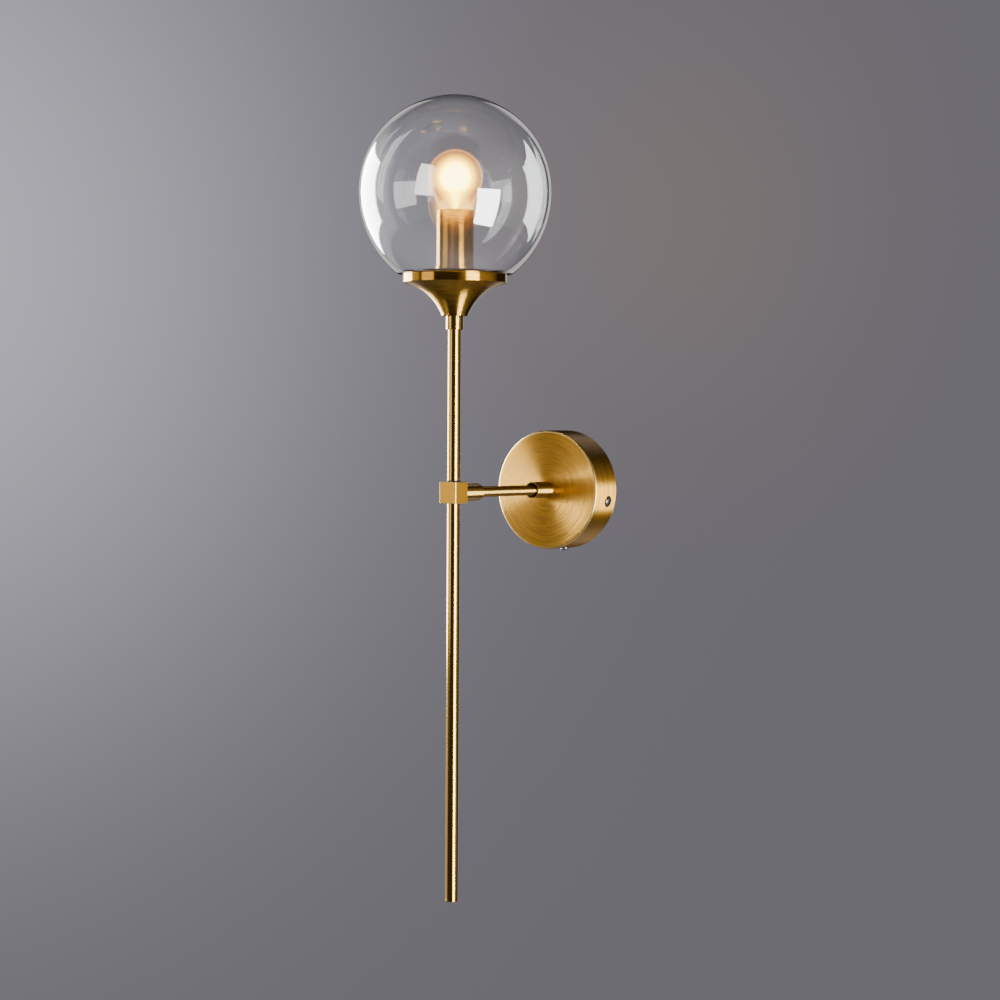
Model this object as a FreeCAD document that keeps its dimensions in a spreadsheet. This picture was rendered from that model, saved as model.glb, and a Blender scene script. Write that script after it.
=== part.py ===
"""Globe wall sconce: a round canopy on the wall, an arm, a connector block that carries an
upper and a lower rod, and a flared cup with a lampholder, a bulb and a clear glass globe.

Frame: the origin is the centre of the canopy on the wall plane, +X to the right, +Y into the
wall, +Z up, in millimetres. Each piece is drawn in its own frame, along its own Z axis, and is
then placed either on the arm's line (its Z pointing out of the wall) or on the rod's line
(its Z pointing up)."""
import FreeCAD, Part
import os
import re
from math import atan2, pi, sin, sqrt, tan

import Sketcher

Vector = FreeCAD.Vector

# ---------------------------------------------------------------- driving dimensions, in mm
SIZES = {
    # wall plate and canopy
    "canopy_diameter": 98.0,
    "canopy_depth": 30.0,
    "canopy_wall": 1.2,
    "canopy_edge": 0.8,
    "plate_thickness": 1.5,
    "plate_gap": 0.5,
    "wire_hole_diameter": 14.0,
    "wall_screw_circle": 60.0,
    "wall_screw_hole": 4.5,
    "ear_width": 10.0,
    "ear_height": 17.0,
    "ear_thickness": 1.5,
    # screws in the side of the canopy, with their angles about the canopy's axis, in degrees
    "side_screw_height": 11.0,
    "side_screw_length": 8.0,
    "side_screw_thread": 3.9,
    "side_screw_head": 7.0,
    "side_screw_head_height": 1.8,
    "side_screw_rim": 0.7,
    "screw_slot": 1.0,
    "screw_slot_depth": 0.9,
    "screw_hole_gap": 0.3,
    "right_screw_angle": -10.8,
    "lower_screw_angle": -83.4,
    "upper_screw_angle": 133.0,
    # arm, its nipple and its collars
    "arm_reach": 129.0,
    "arm_diameter": 8.5,
    "arm_wall": 1.0,
    "arm_socket": 8.0,
    "collar_diameter": 13.5,
    "collar_edge": 0.4,
    "canopy_collar_length": 22.0,
    "block_collar_length": 24.0,
    "canopy_nipple_diameter": 10.0,
    "canopy_nipple_bore": 7.0,
    "canopy_nipple_grip": 10.0,
    "canopy_nipple_tail": 4.0,
    "canopy_nut_across": 14.0,
    "canopy_nut_height": 4.0,
    "lock_washer_diameter": 17.0,
    "lock_washer_thickness": 0.8,
    "lock_washer_teeth": 12.0,
    "lock_washer_notch": 1.6,
    "lock_washer_notch_width": 1.2,
    # connector block and rods
    "block_width": 16.0,
    "block_height": 17.0,
    "block_edge": 0.5,
    "block_thread_depth": 3.8,
    "block_nipple_grip": 10.0,
    "block_channel_floor": 2.2,
    "rod_diameter": 10.0,
    "rod_wall": 1.0,
    "rod_thread_length": 12.0,
    "thread_bore": 5.5,
    "upper_rod_length": 117.5,
    "lower_rod_length": 311.0,
    "rod_washer_diameter": 11.0,
    "rod_washer_thickness": 1.0,
    "end_plug_height": 1.5,
    "end_plug_stem": 8.0,
    # ferrule and cup
    "ferrule_height": 10.9,
    "ferrule_socket": 6.0,
    "cup_height": 32.1,
    "cup_foot_diameter": 21.3,
    "cup_foot_edge": 1.0,
    "cup_band": 6.5,
    "cup_flare_radius": 42.1,
    "cup_wall": 1.2,
    "spacer_diameter": 12.0,
    # glass globe
    "globe_diameter": 150.0,
    "globe_lower_radius": 82.0,
    "glass_overhang": 4.908,
    "glass_wall": 2.6,
    "glass_base": 3.0,
    "glass_corner_rise": 1.2,
    "glass_corner_run": 3.2,
    "glass_corner_radius": 5.2,
    "glass_neck_diameter": 72.0,
    "glass_neck_wall": 3.0,
    "glass_neck_depth": 4.5,
    "gasket_gap": 0.3,
    "gasket_width": 3.15,
    # socket tube and lampholder
    "sleeve_diameter": 29.2,
    "sleeve_wall": 1.0,
    "base_ring_height": 8.3,
    "base_ring_floor": 2.0,
    "base_ring_wall": 0.8,
    "socket_nut_across": 13.0,
    "socket_nut_height": 3.5,
    "holder_gap": 0.6,
    "holder_floor": 2.0,
    "holder_chamber_diameter": 11.0,
    "holder_thread_depth": 4.5,
    "holder_chamber_height": 4.0,
    "shell_gap": 0.3,
    "shell_wall": 0.5,
    "tongue_height": 4.7,
    "tongue_diameter": 6.4,
    "tongue_stem": 2.4,
    "tongue_head": 1.0,
    # bulb
    "contact_gap": 0.3,
    "flare_gap": 0.6,
    "bulb_diameter": 43.0,
    "bulb_length": 78.0,
    "bulb_wall": 0.8,
    "bulb_shoulder_drop": 8.5,
    "bulb_neck_gap": 1.2,
    "bulb_taper_height": 4.5,
    "bulb_throat_lift": 0.6,
    "bulb_throat_rise": 0.5,
    "cap_thread": 13.7,
    "cap_thread_depth": 0.6,
    "cap_pitch": 2.82,
    "cap_turns": 5.0,
    "cap_wall": 0.6,
    "cap_start": 3.6,
    "cap_land": 1.0,
    "cap_neck": 1.9,
    "cap_flare_rise": 1.4,
    "cap_flare_height": 4.0,
    "cap_flare_diameter": 17.0,
    "cap_flare_wall": 0.5,
    "cap_flare_lift": 0.4,
    "bulb_contact_diameter": 4.8,
    "bulb_contact_height": 1.2,
    "bulb_contact_edge": 0.4,
    "bulb_contact_stem": 2.0,
    "insulator_start": 1.5,
    "insulator_foot": 7.2,
    "stem_diameter": 5.0,
    "stem_height": 18.0,
    "stem_flare_height": 1.0,
    "stem_cone_height": 3.0,
    "stem_button": 2.0,
    "stem_button_diameter": 6.8,
    "filament_radius": 7.0,
    "filament_wire": 0.9,
    "support_wire": 0.6,
    "support_spread": 1.4,
    "support_height": 7.4,
    "support_bend": 1.2,
    # terminal block, earth screw and leads, inside the canopy
    "terminal_pitch": 8.0,
    "terminal_depth": 12.0,
    "terminal_length": 16.0,
    "terminal_top": -20.0,
    "terminal_bore": 3.0,
    "terminal_screw": 3.0,
    "terminal_screw_height": 3.5,
    "terminal_screw_sink": 0.5,
    "terminal_screw_inset": 4.0,
    "terminal_slot": 0.6,
    "earth_x": 26.0,
    "earth_z": -24.0,
    "earth_tag_thickness": 0.8,
    "earth_tag_diameter": 8.0,
    "lead_diameter": 2.0,
    "lead_gap": 0.3,
    "lead_bend": 5.0,
    "lead_end": 4.5,
    "lead_rise": 11.0,
    "lead_turn_inset": 6.0,
    "earth_lead_bend": 3.5,
    "earth_lead_drop": 2.5,
    # clearances, and how far a cut runs past a face
    "thread_gap": 0.05,
    "slip_gap": 0.1,
    "cut_overrun": 1.0,
}

# ------------------------------------------- places and radii worked out from those dimensions
PLACES = {
    "plate_radius": "canopy_bore - plate_gap",
    "ear_face": "sqrt(plate_radius * plate_radius - ear_width * ear_width / 4)",
    "screw_radius": "side_screw_thread / 2",
    "screw_head_radius": "side_screw_head / 2",
    "screw_dome": "side_screw_head_height - side_screw_rim",
    "screw_crown": "(screw_head_radius * screw_head_radius + screw_dome * screw_dome) / (2 * screw_dome)",
    "screw_seat": "canopy_diameter / 2 + thread_gap",
    "rod_line": "canopy_depth + arm_reach",
    "canopy_bore": "canopy_diameter / 2 - canopy_wall",
    "face_inside": "canopy_depth - canopy_wall",
    "washer_start": "face_inside - lock_washer_thickness",
    "nut_start": "washer_start - canopy_nut_height",
    "canopy_nipple_start": "nut_start - canopy_nipple_tail",
    "canopy_nipple_radius": "canopy_nipple_diameter / 2",
    "arm_start": "canopy_depth + canopy_collar_length - arm_socket",
    "block_face": "rod_line - block_width / 2",
    "block_collar_start": "block_face - block_collar_length",
    "block_nipple_start": "block_face - block_nipple_grip",
    "arm_end": "block_collar_start + arm_socket",
    "collar_radius": "collar_diameter / 2",
    "rod_radius": "rod_diameter / 2",
    "rod_bore": "rod_radius - rod_wall",
    "thread_radius": "rod_bore - thread_gap",
    "thread_hole": "thread_radius + screw_hole_gap",
    "arm_hole": "arm_diameter / 2 + thread_gap",
    "block_top": "block_height / 2",
    "rod_foot": "block_top + lower_rod_length",
    "upper_rod_start": "block_top + rod_washer_thickness",
    "ferrule_start": "upper_rod_start + upper_rod_length",
    "cup_start": "ferrule_start + ferrule_height",
    "cup_floor": "cup_foot_edge + cup_wall",
    "cup_rim": "cup_start + cup_height",
    "cup_bore": "neck_radius + gasket_gap + gasket_width + thread_gap",
    "cup_rim_radius": "cup_bore + cup_wall",
    "cup_foot_radius": "cup_foot_diameter / 2",
    "base_ring_start": "cup_rim - base_ring_floor",
    "sleeve_radius": "sleeve_diameter / 2",
    "sleeve_bore": "sleeve_radius - sleeve_wall",
    "sleeve_length": "bulb_start + bulb_neck_height - (cup_rim)",
    "ring_bore": "sleeve_radius + thread_gap",
    "holder_start": "cup_rim + socket_nut_height",
    "holder_thread_end": "holder_thread_depth + holder_chamber_height",
    "holder_seat": "holder_thread_end + holder_floor",
    "holder_height": "bulb_start + cap_flare_start - flare_gap - (holder_start)",
    "shell_bore": "cap_crest + shell_gap",
    "shell_radius": "shell_bore + shell_wall",
    "holder_bore": "shell_radius + thread_gap",
    "bulb_start": "holder_start + holder_seat + tongue_height + contact_gap",
    "bulb_radius": "bulb_diameter / 2",
    "bulb_centre": "bulb_length - bulb_radius",
    "cap_crest": "cap_thread / 2",
    "cap_root": "cap_crest - cap_thread_depth",
    "globe_radius": "globe_diameter / 2",
    "globe_shift": "globe_lower_radius - globe_radius",
    "neck_radius": "glass_neck_diameter / 2",
    "globe_centre": "glass_neck_depth + globe_rise",
    "glass_corner": "cup_rim_radius + glass_overhang",
    "glass_corner_reach": "glass_corner + globe_shift",
    "globe_rise": "glass_corner_rise + sqrt(globe_lower_radius * globe_lower_radius"
                  " - glass_corner_reach * glass_corner_reach)",
    "glass_lower_bore": "globe_lower_radius - glass_wall",
    "glass_floor": "sqrt(glass_lower_bore * glass_lower_bore"
                   " - (globe_rise - glass_base) * (globe_rise - glass_base)) - globe_shift",
    "cap_flare_start": "cap_start + cap_land + cap_pitch * cap_turns + cap_neck",
    "cap_flare_end": "cap_flare_start + cap_flare_rise",
    "cap_top": "cap_flare_end + cap_flare_height",
    "cap_flare_radius": "cap_flare_diameter / 2",
    "cap_flare_bore": "cap_flare_radius - cap_flare_wall",
    "bulb_throat": "cap_flare_bore - slip_gap",
    "bulb_throat_start": "cap_flare_end + bulb_throat_lift",
    "bulb_throat_end": "cap_top + bulb_throat_rise",
    "bulb_neck": "sleeve_bore - bulb_neck_gap",
    "bulb_neck_height": "bulb_throat_end + bulb_taper_height",
    "bulb_bore": "bulb_radius - bulb_wall",
    "bulb_shoulder": "sqrt(bulb_radius * bulb_radius - bulb_shoulder_drop * bulb_shoulder_drop)",
    "bulb_shoulder_bore": "sqrt(bulb_bore * bulb_bore - bulb_shoulder_drop * bulb_shoulder_drop)",
    "stem_top": "bulb_throat_start + stem_height",
    "filament_base": "stem_top + stem_button + support_height",
    "terminal_line": "plate_thickness + terminal_depth / 2",
    "terminal_face": "plate_thickness + terminal_depth",
    "earth_seat": "plate_thickness + earth_tag_thickness",
    "lead_top": "holder_start + holder_thread_end",
}

NAME = re.compile(r"[a-z]\w+")
FUNCTIONS = {"sqrt"}


def bound(text):
    """An expression on plain names, with each name turned into a cell of the sheet."""
    def swap(match):
        name = match.group(0)
        if name in FUNCTIONS:
            return name
        if name in PLACES:
            return "(" + bound(PLACES[name]) + ")"
        return "sizes." + name
    return NAME.sub(swap, text)


def value(text):
    """The number that an expression on plain names has now."""
    return float(sheet.evalExpression(bound(text)))


def bind(thing, prop, text):
    """Tie a property of an object to an expression on plain names."""
    thing.setExpression(prop, bound(text))


def make_sheet():
    """The spreadsheet of driving dimensions: a name and a plain number in each row."""
    sizes = doc.addObject("Spreadsheet::Sheet", "sizes")
    for row, (name, number) in enumerate(SIZES.items(), start=1):
        sizes.set(f"A{row}", name)
        sizes.set(f"B{row}", str(number))
        sizes.setAlias(f"B{row}", name)
    doc.recompute()
    return sizes


# ------------------------------------------------------------------------ tools for building
def new_body(name):
    """An empty body that carries the sub-part's name."""
    body = doc.addObject("PartDesign::Body", name)
    body.Label = name
    return body


def origin_part(body, role):
    """A plane or an axis of a body's own origin."""
    return next(item for item in body.Origin.OriginFeatures if item.Role == role)


def on_arm(part, distance):
    """Place a part on the arm's line: its Z points out of the wall from a given distance."""
    part.Placement = FreeCAD.Placement(Vector(), FreeCAD.Rotation(Vector(1, 0, 0), 90))
    bind(part, "Placement.Base.y", f"-({distance})")


def on_rod(part, height):
    """Place a part on the rod's line: its Z points up from a given height."""
    bind(part, "Placement.Base.y", "-(rod_line)")
    bind(part, "Placement.Base.z", height)


def arc_between(start, end, radius, left):
    """An arc from start to end that turns left or right, with the ends it starts and stops at."""
    chord = end - start
    reach = sqrt(radius ** 2 - chord.Length ** 2 / 4)
    side = Vector(-chord.y, chord.x, 0).normalize()
    centre = (start + end) * 0.5 + side * (reach if left else -reach)
    first, last = (start, end) if left else (end, start)
    first_angle = atan2(first.y - centre.y, first.x - centre.x)
    last_angle = atan2(last.y - centre.y, last.x - centre.x)
    if last_angle < first_angle:
        last_angle += 2 * pi
    circle = Part.Circle(centre, Vector(0, 0, 1), radius)
    ends = (1, 2) if left else (2, 1)
    return Part.ArcOfCircle(circle, first_angle, last_angle), *ends


def closed_sketch(body, name, plane, corners):
    """A closed sketch with every corner tied to the sheet. A corner is (across, up), and one
    that is reached by an arc adds the arc's radius and 'left' or 'right' for its turn."""
    sketch = body.newObject("Sketcher::SketchObject", name)
    sketch.AttachmentSupport = [(origin_part(body, plane), "")]
    sketch.MapMode = "FlatFace"
    points = [Vector(value(corner[0]), value(corner[1]), 0) for corner in corners]
    ends = []
    count = len(corners)
    for index, start in enumerate(points):
        target = corners[(index + 1) % count]
        end = points[(index + 1) % count]
        if len(target) == 2:
            sketch.addGeometry(Part.LineSegment(start, end), False)
            ends.append((1, 2))
        else:
            arc, near, far = arc_between(start, end, value(target[2]), target[3] == "left")
            sketch.addGeometry(arc, False)
            ends.append((near, far))
    for index in range(count):
        follower = (index + 1) % count
        sketch.addConstraint(Sketcher.Constraint(
            "Coincident", index, ends[index][1], follower, ends[follower][0]))
    for index, corner in enumerate(corners):
        tie_corner(sketch, index, ends[index][0], corner, points[index])
        if len(corner) > 2:
            arc_index = (index - 1) % count
            row = sketch.addConstraint(Sketcher.Constraint("Radius", arc_index, value(corner[2])))
            bind(sketch, f"Constraints[{row}]", corner[2])
    return sketch


def tie_corner(sketch, geometry, end, corner, point):
    """Tie one corner's two distances from the sketch's origin to the sheet."""
    for kind, text, distance in (("DistanceX", corner[0], point.x), ("DistanceY", corner[1], point.y)):
        row = sketch.addConstraint(Sketcher.Constraint(kind, -1, 1, geometry, end, distance))
        if text != "0":
            bind(sketch, f"Constraints[{row}]", text)


def turned(name, corners):
    """A body turned about its Z axis from a closed profile of (radius, height) corners."""
    body = new_body(name)
    sketch = closed_sketch(body, name + "_profile", "XZ_Plane", corners)
    revolution = body.newObject("PartDesign::Revolution", name + "_turned")
    revolution.Profile = sketch
    revolution.ReferenceAxis = (sketch, ["V_Axis"])
    revolution.Angle = 360
    return body


def padded(name, corners, height):
    """A body whose flat outline in the XY plane is padded up to a height."""
    body = new_body(name)
    sketch = closed_sketch(body, name + "_outline", "XY_Plane", corners)
    pad = body.newObject("PartDesign::Pad", name + "_pad")
    pad.Profile = sketch
    bind(pad, "Length", height)
    return body


def tube_corners(inner, outer, bottom, top):
    """The profile of a plain tube or ring."""
    return [(inner, bottom), (outer, bottom), (outer, top), (inner, top)]


def hexagon_corners(across):
    """The outline of a hexagon by its size across the flats."""
    flat = f"({across}) / 2"
    corner = f"({across}) / sqrt(3)"
    half = f"({across}) / sqrt(12)"
    return [(corner, "0"), (half, flat), (f"-{half}", flat),
            (f"-{corner}", "0"), (f"-{half}", f"-{flat}"), (half, f"-{flat}")]


def placed(thing, at, turn, about="0"):
    """Tie a thing's place, its yaw, pitch and roll, and a turn of both about Z to the sheet."""
    where = "; ".join(bound(text) for text in at)
    angles = "; ".join(bound(text) for text in turn)
    swing = f"placement(vector(0; 0; 0); rotation({bound(about)}; 0; 0))"
    thing.setExpression("Placement", f"{swing} * placement(vector({where}); rotation({angles}))")


UPRIGHT = ("0", "0", "0")
ALONG_X = ("0", "90", "0")
ALONG_Y = ("0", "0", "-90")


def round_cut(body, name, radius, length, at, turn=UPRIGHT, about="0"):
    """Cut a round hole from a start point along the cylinder's turned axis."""
    hole = body.newObject("PartDesign::SubtractiveCylinder", name)
    bind(hole, "Radius", radius)
    bind(hole, "Height", length)
    placed(hole, at, turn, about)
    return hole


def box_feature(body, kind, name, size, at, about="0"):
    """Add or cut a box in a body by its size and its lowest corner."""
    box = body.newObject(f"PartDesign::{kind}Box", name)
    for prop, text in zip(("Length", "Width", "Height"), size):
        bind(box, prop, text)
    placed(box, at, UPRIGHT, about)
    return box


def repeated(body, name, feature, count):
    """Repeat a feature evenly about the body's Z axis."""
    pattern = body.newObject("PartDesign::PolarPattern", name)
    pattern.Originals = [feature]
    pattern.Axis = (origin_part(body, "Z_Axis"), [""])
    pattern.Angle = 360
    bind(pattern, "Occurrences", count)
    body.Tip = pattern
    return pattern


def group_of_copies(name, template, places):
    """A group of separate copies of one body, each at its own tied place and turn."""
    copies = []
    for index, (at, turn, about) in enumerate(places, start=1):
        copy = doc.addObject("App::Link", f"{name}_{index}")
        copy.LinkedObject = template
        copy.LinkTransform = False
        placed(copy, at, turn, about)
        copies.append(copy)
    group = doc.addObject("Part::Compound", name)
    group.Label = name
    group.Links = copies
    return group


def route_wire(points, bend):
    """A wire of straight runs through the points, each corner rounded by a tangent arc."""
    edges = []
    start = points[0]
    for before, corner, after in zip(points, points[1:], points[2:]):
        inward = (before - corner).normalize()
        outward = (after - corner).normalize()
        half_open = inward.getAngle(outward) / 2
        tangent = bend / tan(half_open)
        middle = corner + (inward + outward).normalize() * (bend / sin(half_open) - bend)
        arc_start = corner + inward * tangent
        arc_end = corner + outward * tangent
        edges.append(Part.LineSegment(start, arc_start).toShape())
        edges.append(Part.Arc(arc_start, middle, arc_end).toShape())
        start = arc_end
    edges.append(Part.LineSegment(start, points[-1]).toShape())
    return Part.Wire(edges)


def wire_tube(points, bend, radius):
    """A round solid wire along a rounded route."""
    path = route_wire(points, bend)
    ring = Part.Circle(points[0], points[1] - points[0], radius).toShape()
    tube = path.makePipeShell([Part.Wire(ring)], True, True)
    print(f"  wire {path.Length:.1f} mm, volume ratio {tube.Volume / (path.Length * pi * radius ** 2):.4f}")
    return tube


def wire_node(name, shape):
    """A sub-part whose shape is made from a route."""
    part = doc.addObject("Part::Feature", name)
    part.Label = name
    part.Shape = shape
    return part


# --------------------------------------------------------------- wall plate and canopy
SIDE_SCREWS = ("right_screw_angle", "lower_screw_angle", "upper_screw_angle")
SIDES = (-1, 1)
POLES = (-1, 0, 1)


def pan_screw(name, length):
    """A slotted pan-head screw, with its head's underside at its own origin."""
    body = turned(name, [
        ("0", f"-{length}"), ("screw_radius", f"-{length}"), ("screw_radius", "0"),
        ("screw_head_radius", "0"), ("screw_head_radius", "side_screw_rim"),
        ("0", "side_screw_head_height", "screw_crown", "left")])
    box_feature(body, "Subtractive", name + "_slot",
                ("side_screw_head + 2 * cut_overrun", "screw_slot", "side_screw_head_height"),
                ("-side_screw_head / 2 - cut_overrun", "-screw_slot / 2",
                 "side_screw_head_height - screw_slot_depth"))
    return body


def wall_plate():
    """Round steel plate with three bent, tapped ears for the screws in the canopy's side."""
    body = turned("wall_plate", tube_corners(
        "wire_hole_diameter / 2", "plate_radius", "0", "plate_thickness"))
    for side in SIDES:
        round_cut(body, f"wall_hole_{side + 2}", "wall_screw_hole / 2", "plate_thickness + 2 * cut_overrun",
                  (f"{side} * wall_screw_circle / 2", "0", "-cut_overrun"))
    round_cut(body, "earth_hole", "screw_radius + thread_gap", "plate_thickness + 2 * cut_overrun",
              ("earth_x", "earth_z", "-cut_overrun"))
    for angle in SIDE_SCREWS:
        box_feature(body, "Additive", angle.replace("screw_angle", "ear"),
                    ("ear_thickness", "ear_width", "ear_height"),
                    ("ear_face - ear_thickness", "-ear_width / 2", "0"), angle)
        round_cut(body, angle.replace("screw_angle", "tapped_hole"), "screw_radius + thread_gap",
                  "ear_thickness + 2 * cut_overrun",
                  ("ear_face - ear_thickness - cut_overrun", "0", "side_screw_height"), ALONG_X, angle)
    on_arm(body, "0")


def canopy_cover():
    """Spun brass canopy: an open-backed cup with a chamfered rim and three screw holes."""
    outer = "canopy_diameter / 2"
    hole = "canopy_nipple_radius + screw_hole_gap"
    body = turned("canopy_cover", [
        ("canopy_bore", "0"), (outer, "0"), (outer, "canopy_depth - canopy_edge"),
        (f"{outer} - canopy_edge", "canopy_depth"), (hole, "canopy_depth"),
        (hole, "face_inside"), ("canopy_bore", "face_inside")])
    for angle in SIDE_SCREWS:
        round_cut(body, angle.replace("screw_angle", "side_hole"), "screw_radius + screw_hole_gap",
                  "canopy_wall + 2 * cut_overrun", ("canopy_bore - cut_overrun", "0", "side_screw_height"),
                  ALONG_X, angle)
    on_arm(body, "0")


def canopy_screws():
    """The three screws that hold the canopy to the wall plate's ears."""
    screw = pan_screw("side_screw_pattern", "side_screw_length")
    places = [(("screw_seat", "0", "side_screw_height"), ALONG_X, angle) for angle in SIDE_SCREWS]
    on_arm(group_of_copies("canopy_screws", screw, places), "0")


def earth_screw():
    """Short earth screw in the wall plate, with the ring tag of the earth lead under its head."""
    screw = pan_screw("earth_screw", "(earth_seat - slip_gap)")
    tag = turned("earth_tag", tube_corners("screw_radius + slip_gap", "earth_tag_diameter / 2",
                                           "0", "earth_tag_thickness"))
    on_arm(screw, "earth_seat")
    on_arm(tag, "plate_thickness")
    for part in (screw, tag):
        bind(part, "Placement.Base.x", "earth_x")
        bind(part, "Placement.Base.z", "earth_z")


def terminal_block():
    """Three-pole terminal block on the wall plate, with two clamping screws in each pole."""
    body = new_body("terminal_block")
    box_feature(body, "Additive", "terminal_case",
                ("terminal_pitch * 3", "terminal_length", "terminal_depth"),
                ("-terminal_pitch * 3 / 2", "terminal_top - terminal_length", "plate_thickness"))
    screw = turned("terminal_screw_pattern", [
        ("0", "0"), ("terminal_screw / 2", "0"),
        ("terminal_screw / 2", "terminal_screw_height"), ("0", "terminal_screw_height")])
    box_feature(screw, "Subtractive", "terminal_screw_slot",
                ("terminal_screw + 2 * cut_overrun", "terminal_slot", "terminal_screw_height"),
                ("-terminal_screw / 2 - cut_overrun", "-terminal_slot / 2",
                 "terminal_screw_height - terminal_slot"))
    places = []
    for pole in POLES:
        across = f"{pole} * terminal_pitch"
        round_cut(body, f"pole_bore_{pole + 2}", "terminal_bore / 2", "terminal_length + 2 * cut_overrun",
                  (across, "terminal_top - terminal_length - cut_overrun", "terminal_line"), ALONG_Y)
        for row, inset in enumerate(("terminal_screw_inset", "terminal_length - terminal_screw_inset")):
            up = f"terminal_top - ({inset})"
            round_cut(body, f"screw_well_{pole + 2}_{row}", "terminal_screw / 2 + thread_gap",
                      "terminal_depth / 2 + cut_overrun", (across, up, "terminal_line"))
            seat = "terminal_face - terminal_screw_sink - terminal_screw_height"
            places.append(((across, up, seat), UPRIGHT, "0"))
    on_arm(body, "0")
    on_arm(group_of_copies("terminal_screws", screw, places), "0")


# --------------------------------------------------------------- arm, collars and nipples
def canopy_nipple():
    """Hollow threaded nipple through the canopy's face, with its nut and toothed washer."""
    nipple = turned("canopy_nipple", tube_corners(
        "canopy_nipple_bore / 2", "canopy_nipple_radius", "0",
        "canopy_depth + canopy_nipple_grip - (canopy_nipple_start)"))
    on_arm(nipple, "canopy_nipple_start")
    nut = padded("canopy_nut", hexagon_corners("canopy_nut_across"), "canopy_nut_height")
    round_cut(nut, "canopy_nut_thread", "canopy_nipple_radius + thread_gap",
              "canopy_nut_height + 2 * cut_overrun", ("0", "0", "-cut_overrun"))
    on_arm(nut, "nut_start")
    washer = turned("canopy_washer", tube_corners(
        "canopy_nipple_radius + slip_gap", "lock_washer_diameter / 2", "0", "lock_washer_thickness"))
    notch = box_feature(washer, "Subtractive", "washer_notch",
                        ("lock_washer_notch + cut_overrun", "lock_washer_notch_width",
                         "lock_washer_thickness + 2 * cut_overrun"),
                        ("lock_washer_diameter / 2 - lock_washer_notch", "-lock_washer_notch_width / 2",
                         "-cut_overrun"))
    repeated(washer, "washer_teeth", notch, "lock_washer_teeth")
    on_arm(washer, "washer_start")


def canopy_collar():
    """Collar that screws on the nipple against the canopy's face and takes the arm's end."""
    body = turned("canopy_collar", [
        ("canopy_nipple_radius + thread_gap", "0"), ("collar_radius", "0"),
        ("collar_radius", "canopy_collar_length - collar_edge"),
        ("collar_radius - collar_edge", "canopy_collar_length"),
        ("arm_hole", "canopy_collar_length"), ("arm_hole", "canopy_collar_length - arm_socket"),
        ("canopy_nipple_bore / 2", "canopy_collar_length - arm_socket"),
        ("canopy_nipple_bore / 2", "canopy_nipple_grip"),
        ("canopy_nipple_radius + thread_gap", "canopy_nipple_grip")])
    on_arm(body, "canopy_depth")


def arm_tube():
    """Arm between the two collars."""
    body = turned("arm_tube", tube_corners("arm_diameter / 2 - arm_wall", "arm_diameter / 2",
                                           "0", "arm_end - (arm_start)"))
    on_arm(body, "arm_start")


def block_collar():
    """Collar against the connector block, which takes the arm's other end."""
    body = turned("block_collar", [
        ("arm_hole", "0"), ("collar_radius - collar_edge", "0"), ("collar_radius", "collar_edge"),
        ("collar_radius", "block_collar_length"), ("rod_bore", "block_collar_length"),
        ("rod_bore", "block_collar_length - block_nipple_grip"),
        ("thread_bore / 2", "block_collar_length - block_nipple_grip"),
        ("thread_bore / 2", "arm_socket"), ("arm_hole", "arm_socket")])
    on_arm(body, "block_collar_start")
    nipple = turned("block_nipple", tube_corners(
        "thread_bore / 2", "thread_radius", "0", "block_nipple_grip + block_thread_depth"))
    on_arm(nipple, "block_nipple_start")


# --------------------------------------------------------------- connector block and rods
def connector_block():
    """Square block where the arm meets the rods, with a right-angled channel for the leads."""
    half = "block_width / 2"
    body = padded("connector_block",
                  [(half, half), (f"-{half}", half), (f"-{half}", f"-{half}"), (half, f"-{half}")],
                  "block_height")
    pad = body.Tip
    edges = body.newObject("PartDesign::Chamfer", "block_edges")
    edges.Base = (pad, [""])
    edges.UseAllEdges = True
    bind(edges, "Size", "block_edge")
    channel_start = "block_height / 2 - block_channel_floor"
    round_cut(body, "upper_thread", "rod_bore", "block_height", ("0", "0", channel_start))
    round_cut(body, "arm_thread", "rod_bore", "block_width", ("0", "0", "block_height / 2"), ALONG_Y)
    round_cut(body, "lower_thread", "rod_bore", "block_thread_depth + cut_overrun",
              ("0", "0", "-cut_overrun"))
    on_rod(body, "-block_height / 2")


def rods():
    """The two rods, their threaded nipple and stud, the black washer and the lower end's plug."""
    washer = turned("rod_washer", tube_corners("thread_radius + slip_gap", "rod_washer_diameter / 2",
                                               "0", "rod_washer_thickness"))
    on_rod(washer, "block_top")
    upper = turned("upper_rod", tube_corners(
        "rod_bore", "rod_radius", "0", "upper_rod_length + ferrule_socket"))
    on_rod(upper, "upper_rod_start")
    nipple = turned("upper_rod_nipple", tube_corners(
        "thread_bore / 2", "thread_radius", "0",
        "block_thread_depth + rod_washer_thickness + rod_thread_length"))
    on_rod(nipple, "block_top - block_thread_depth")
    lower = turned("lower_rod", tube_corners("rod_bore", "rod_radius", "0", "lower_rod_length"))
    on_rod(lower, "-(rod_foot)")
    stud_length = "block_thread_depth + rod_thread_length"
    stud = turned("lower_rod_stud", [
        ("0", "0"), ("thread_radius", "0"), ("thread_radius", stud_length), ("0", stud_length)])
    on_rod(stud, "-(block_top) - rod_thread_length")
    plug_top = "end_plug_height + end_plug_stem"
    plug = turned("rod_end_plug", [
        ("0", "0"), ("rod_radius - collar_edge", "0"), ("rod_radius", "collar_edge"),
        ("rod_radius", "end_plug_height"), ("thread_radius", "end_plug_height"),
        ("thread_radius", plug_top), ("0", plug_top)])
    on_rod(plug, "-(rod_foot) - end_plug_height")


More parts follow.
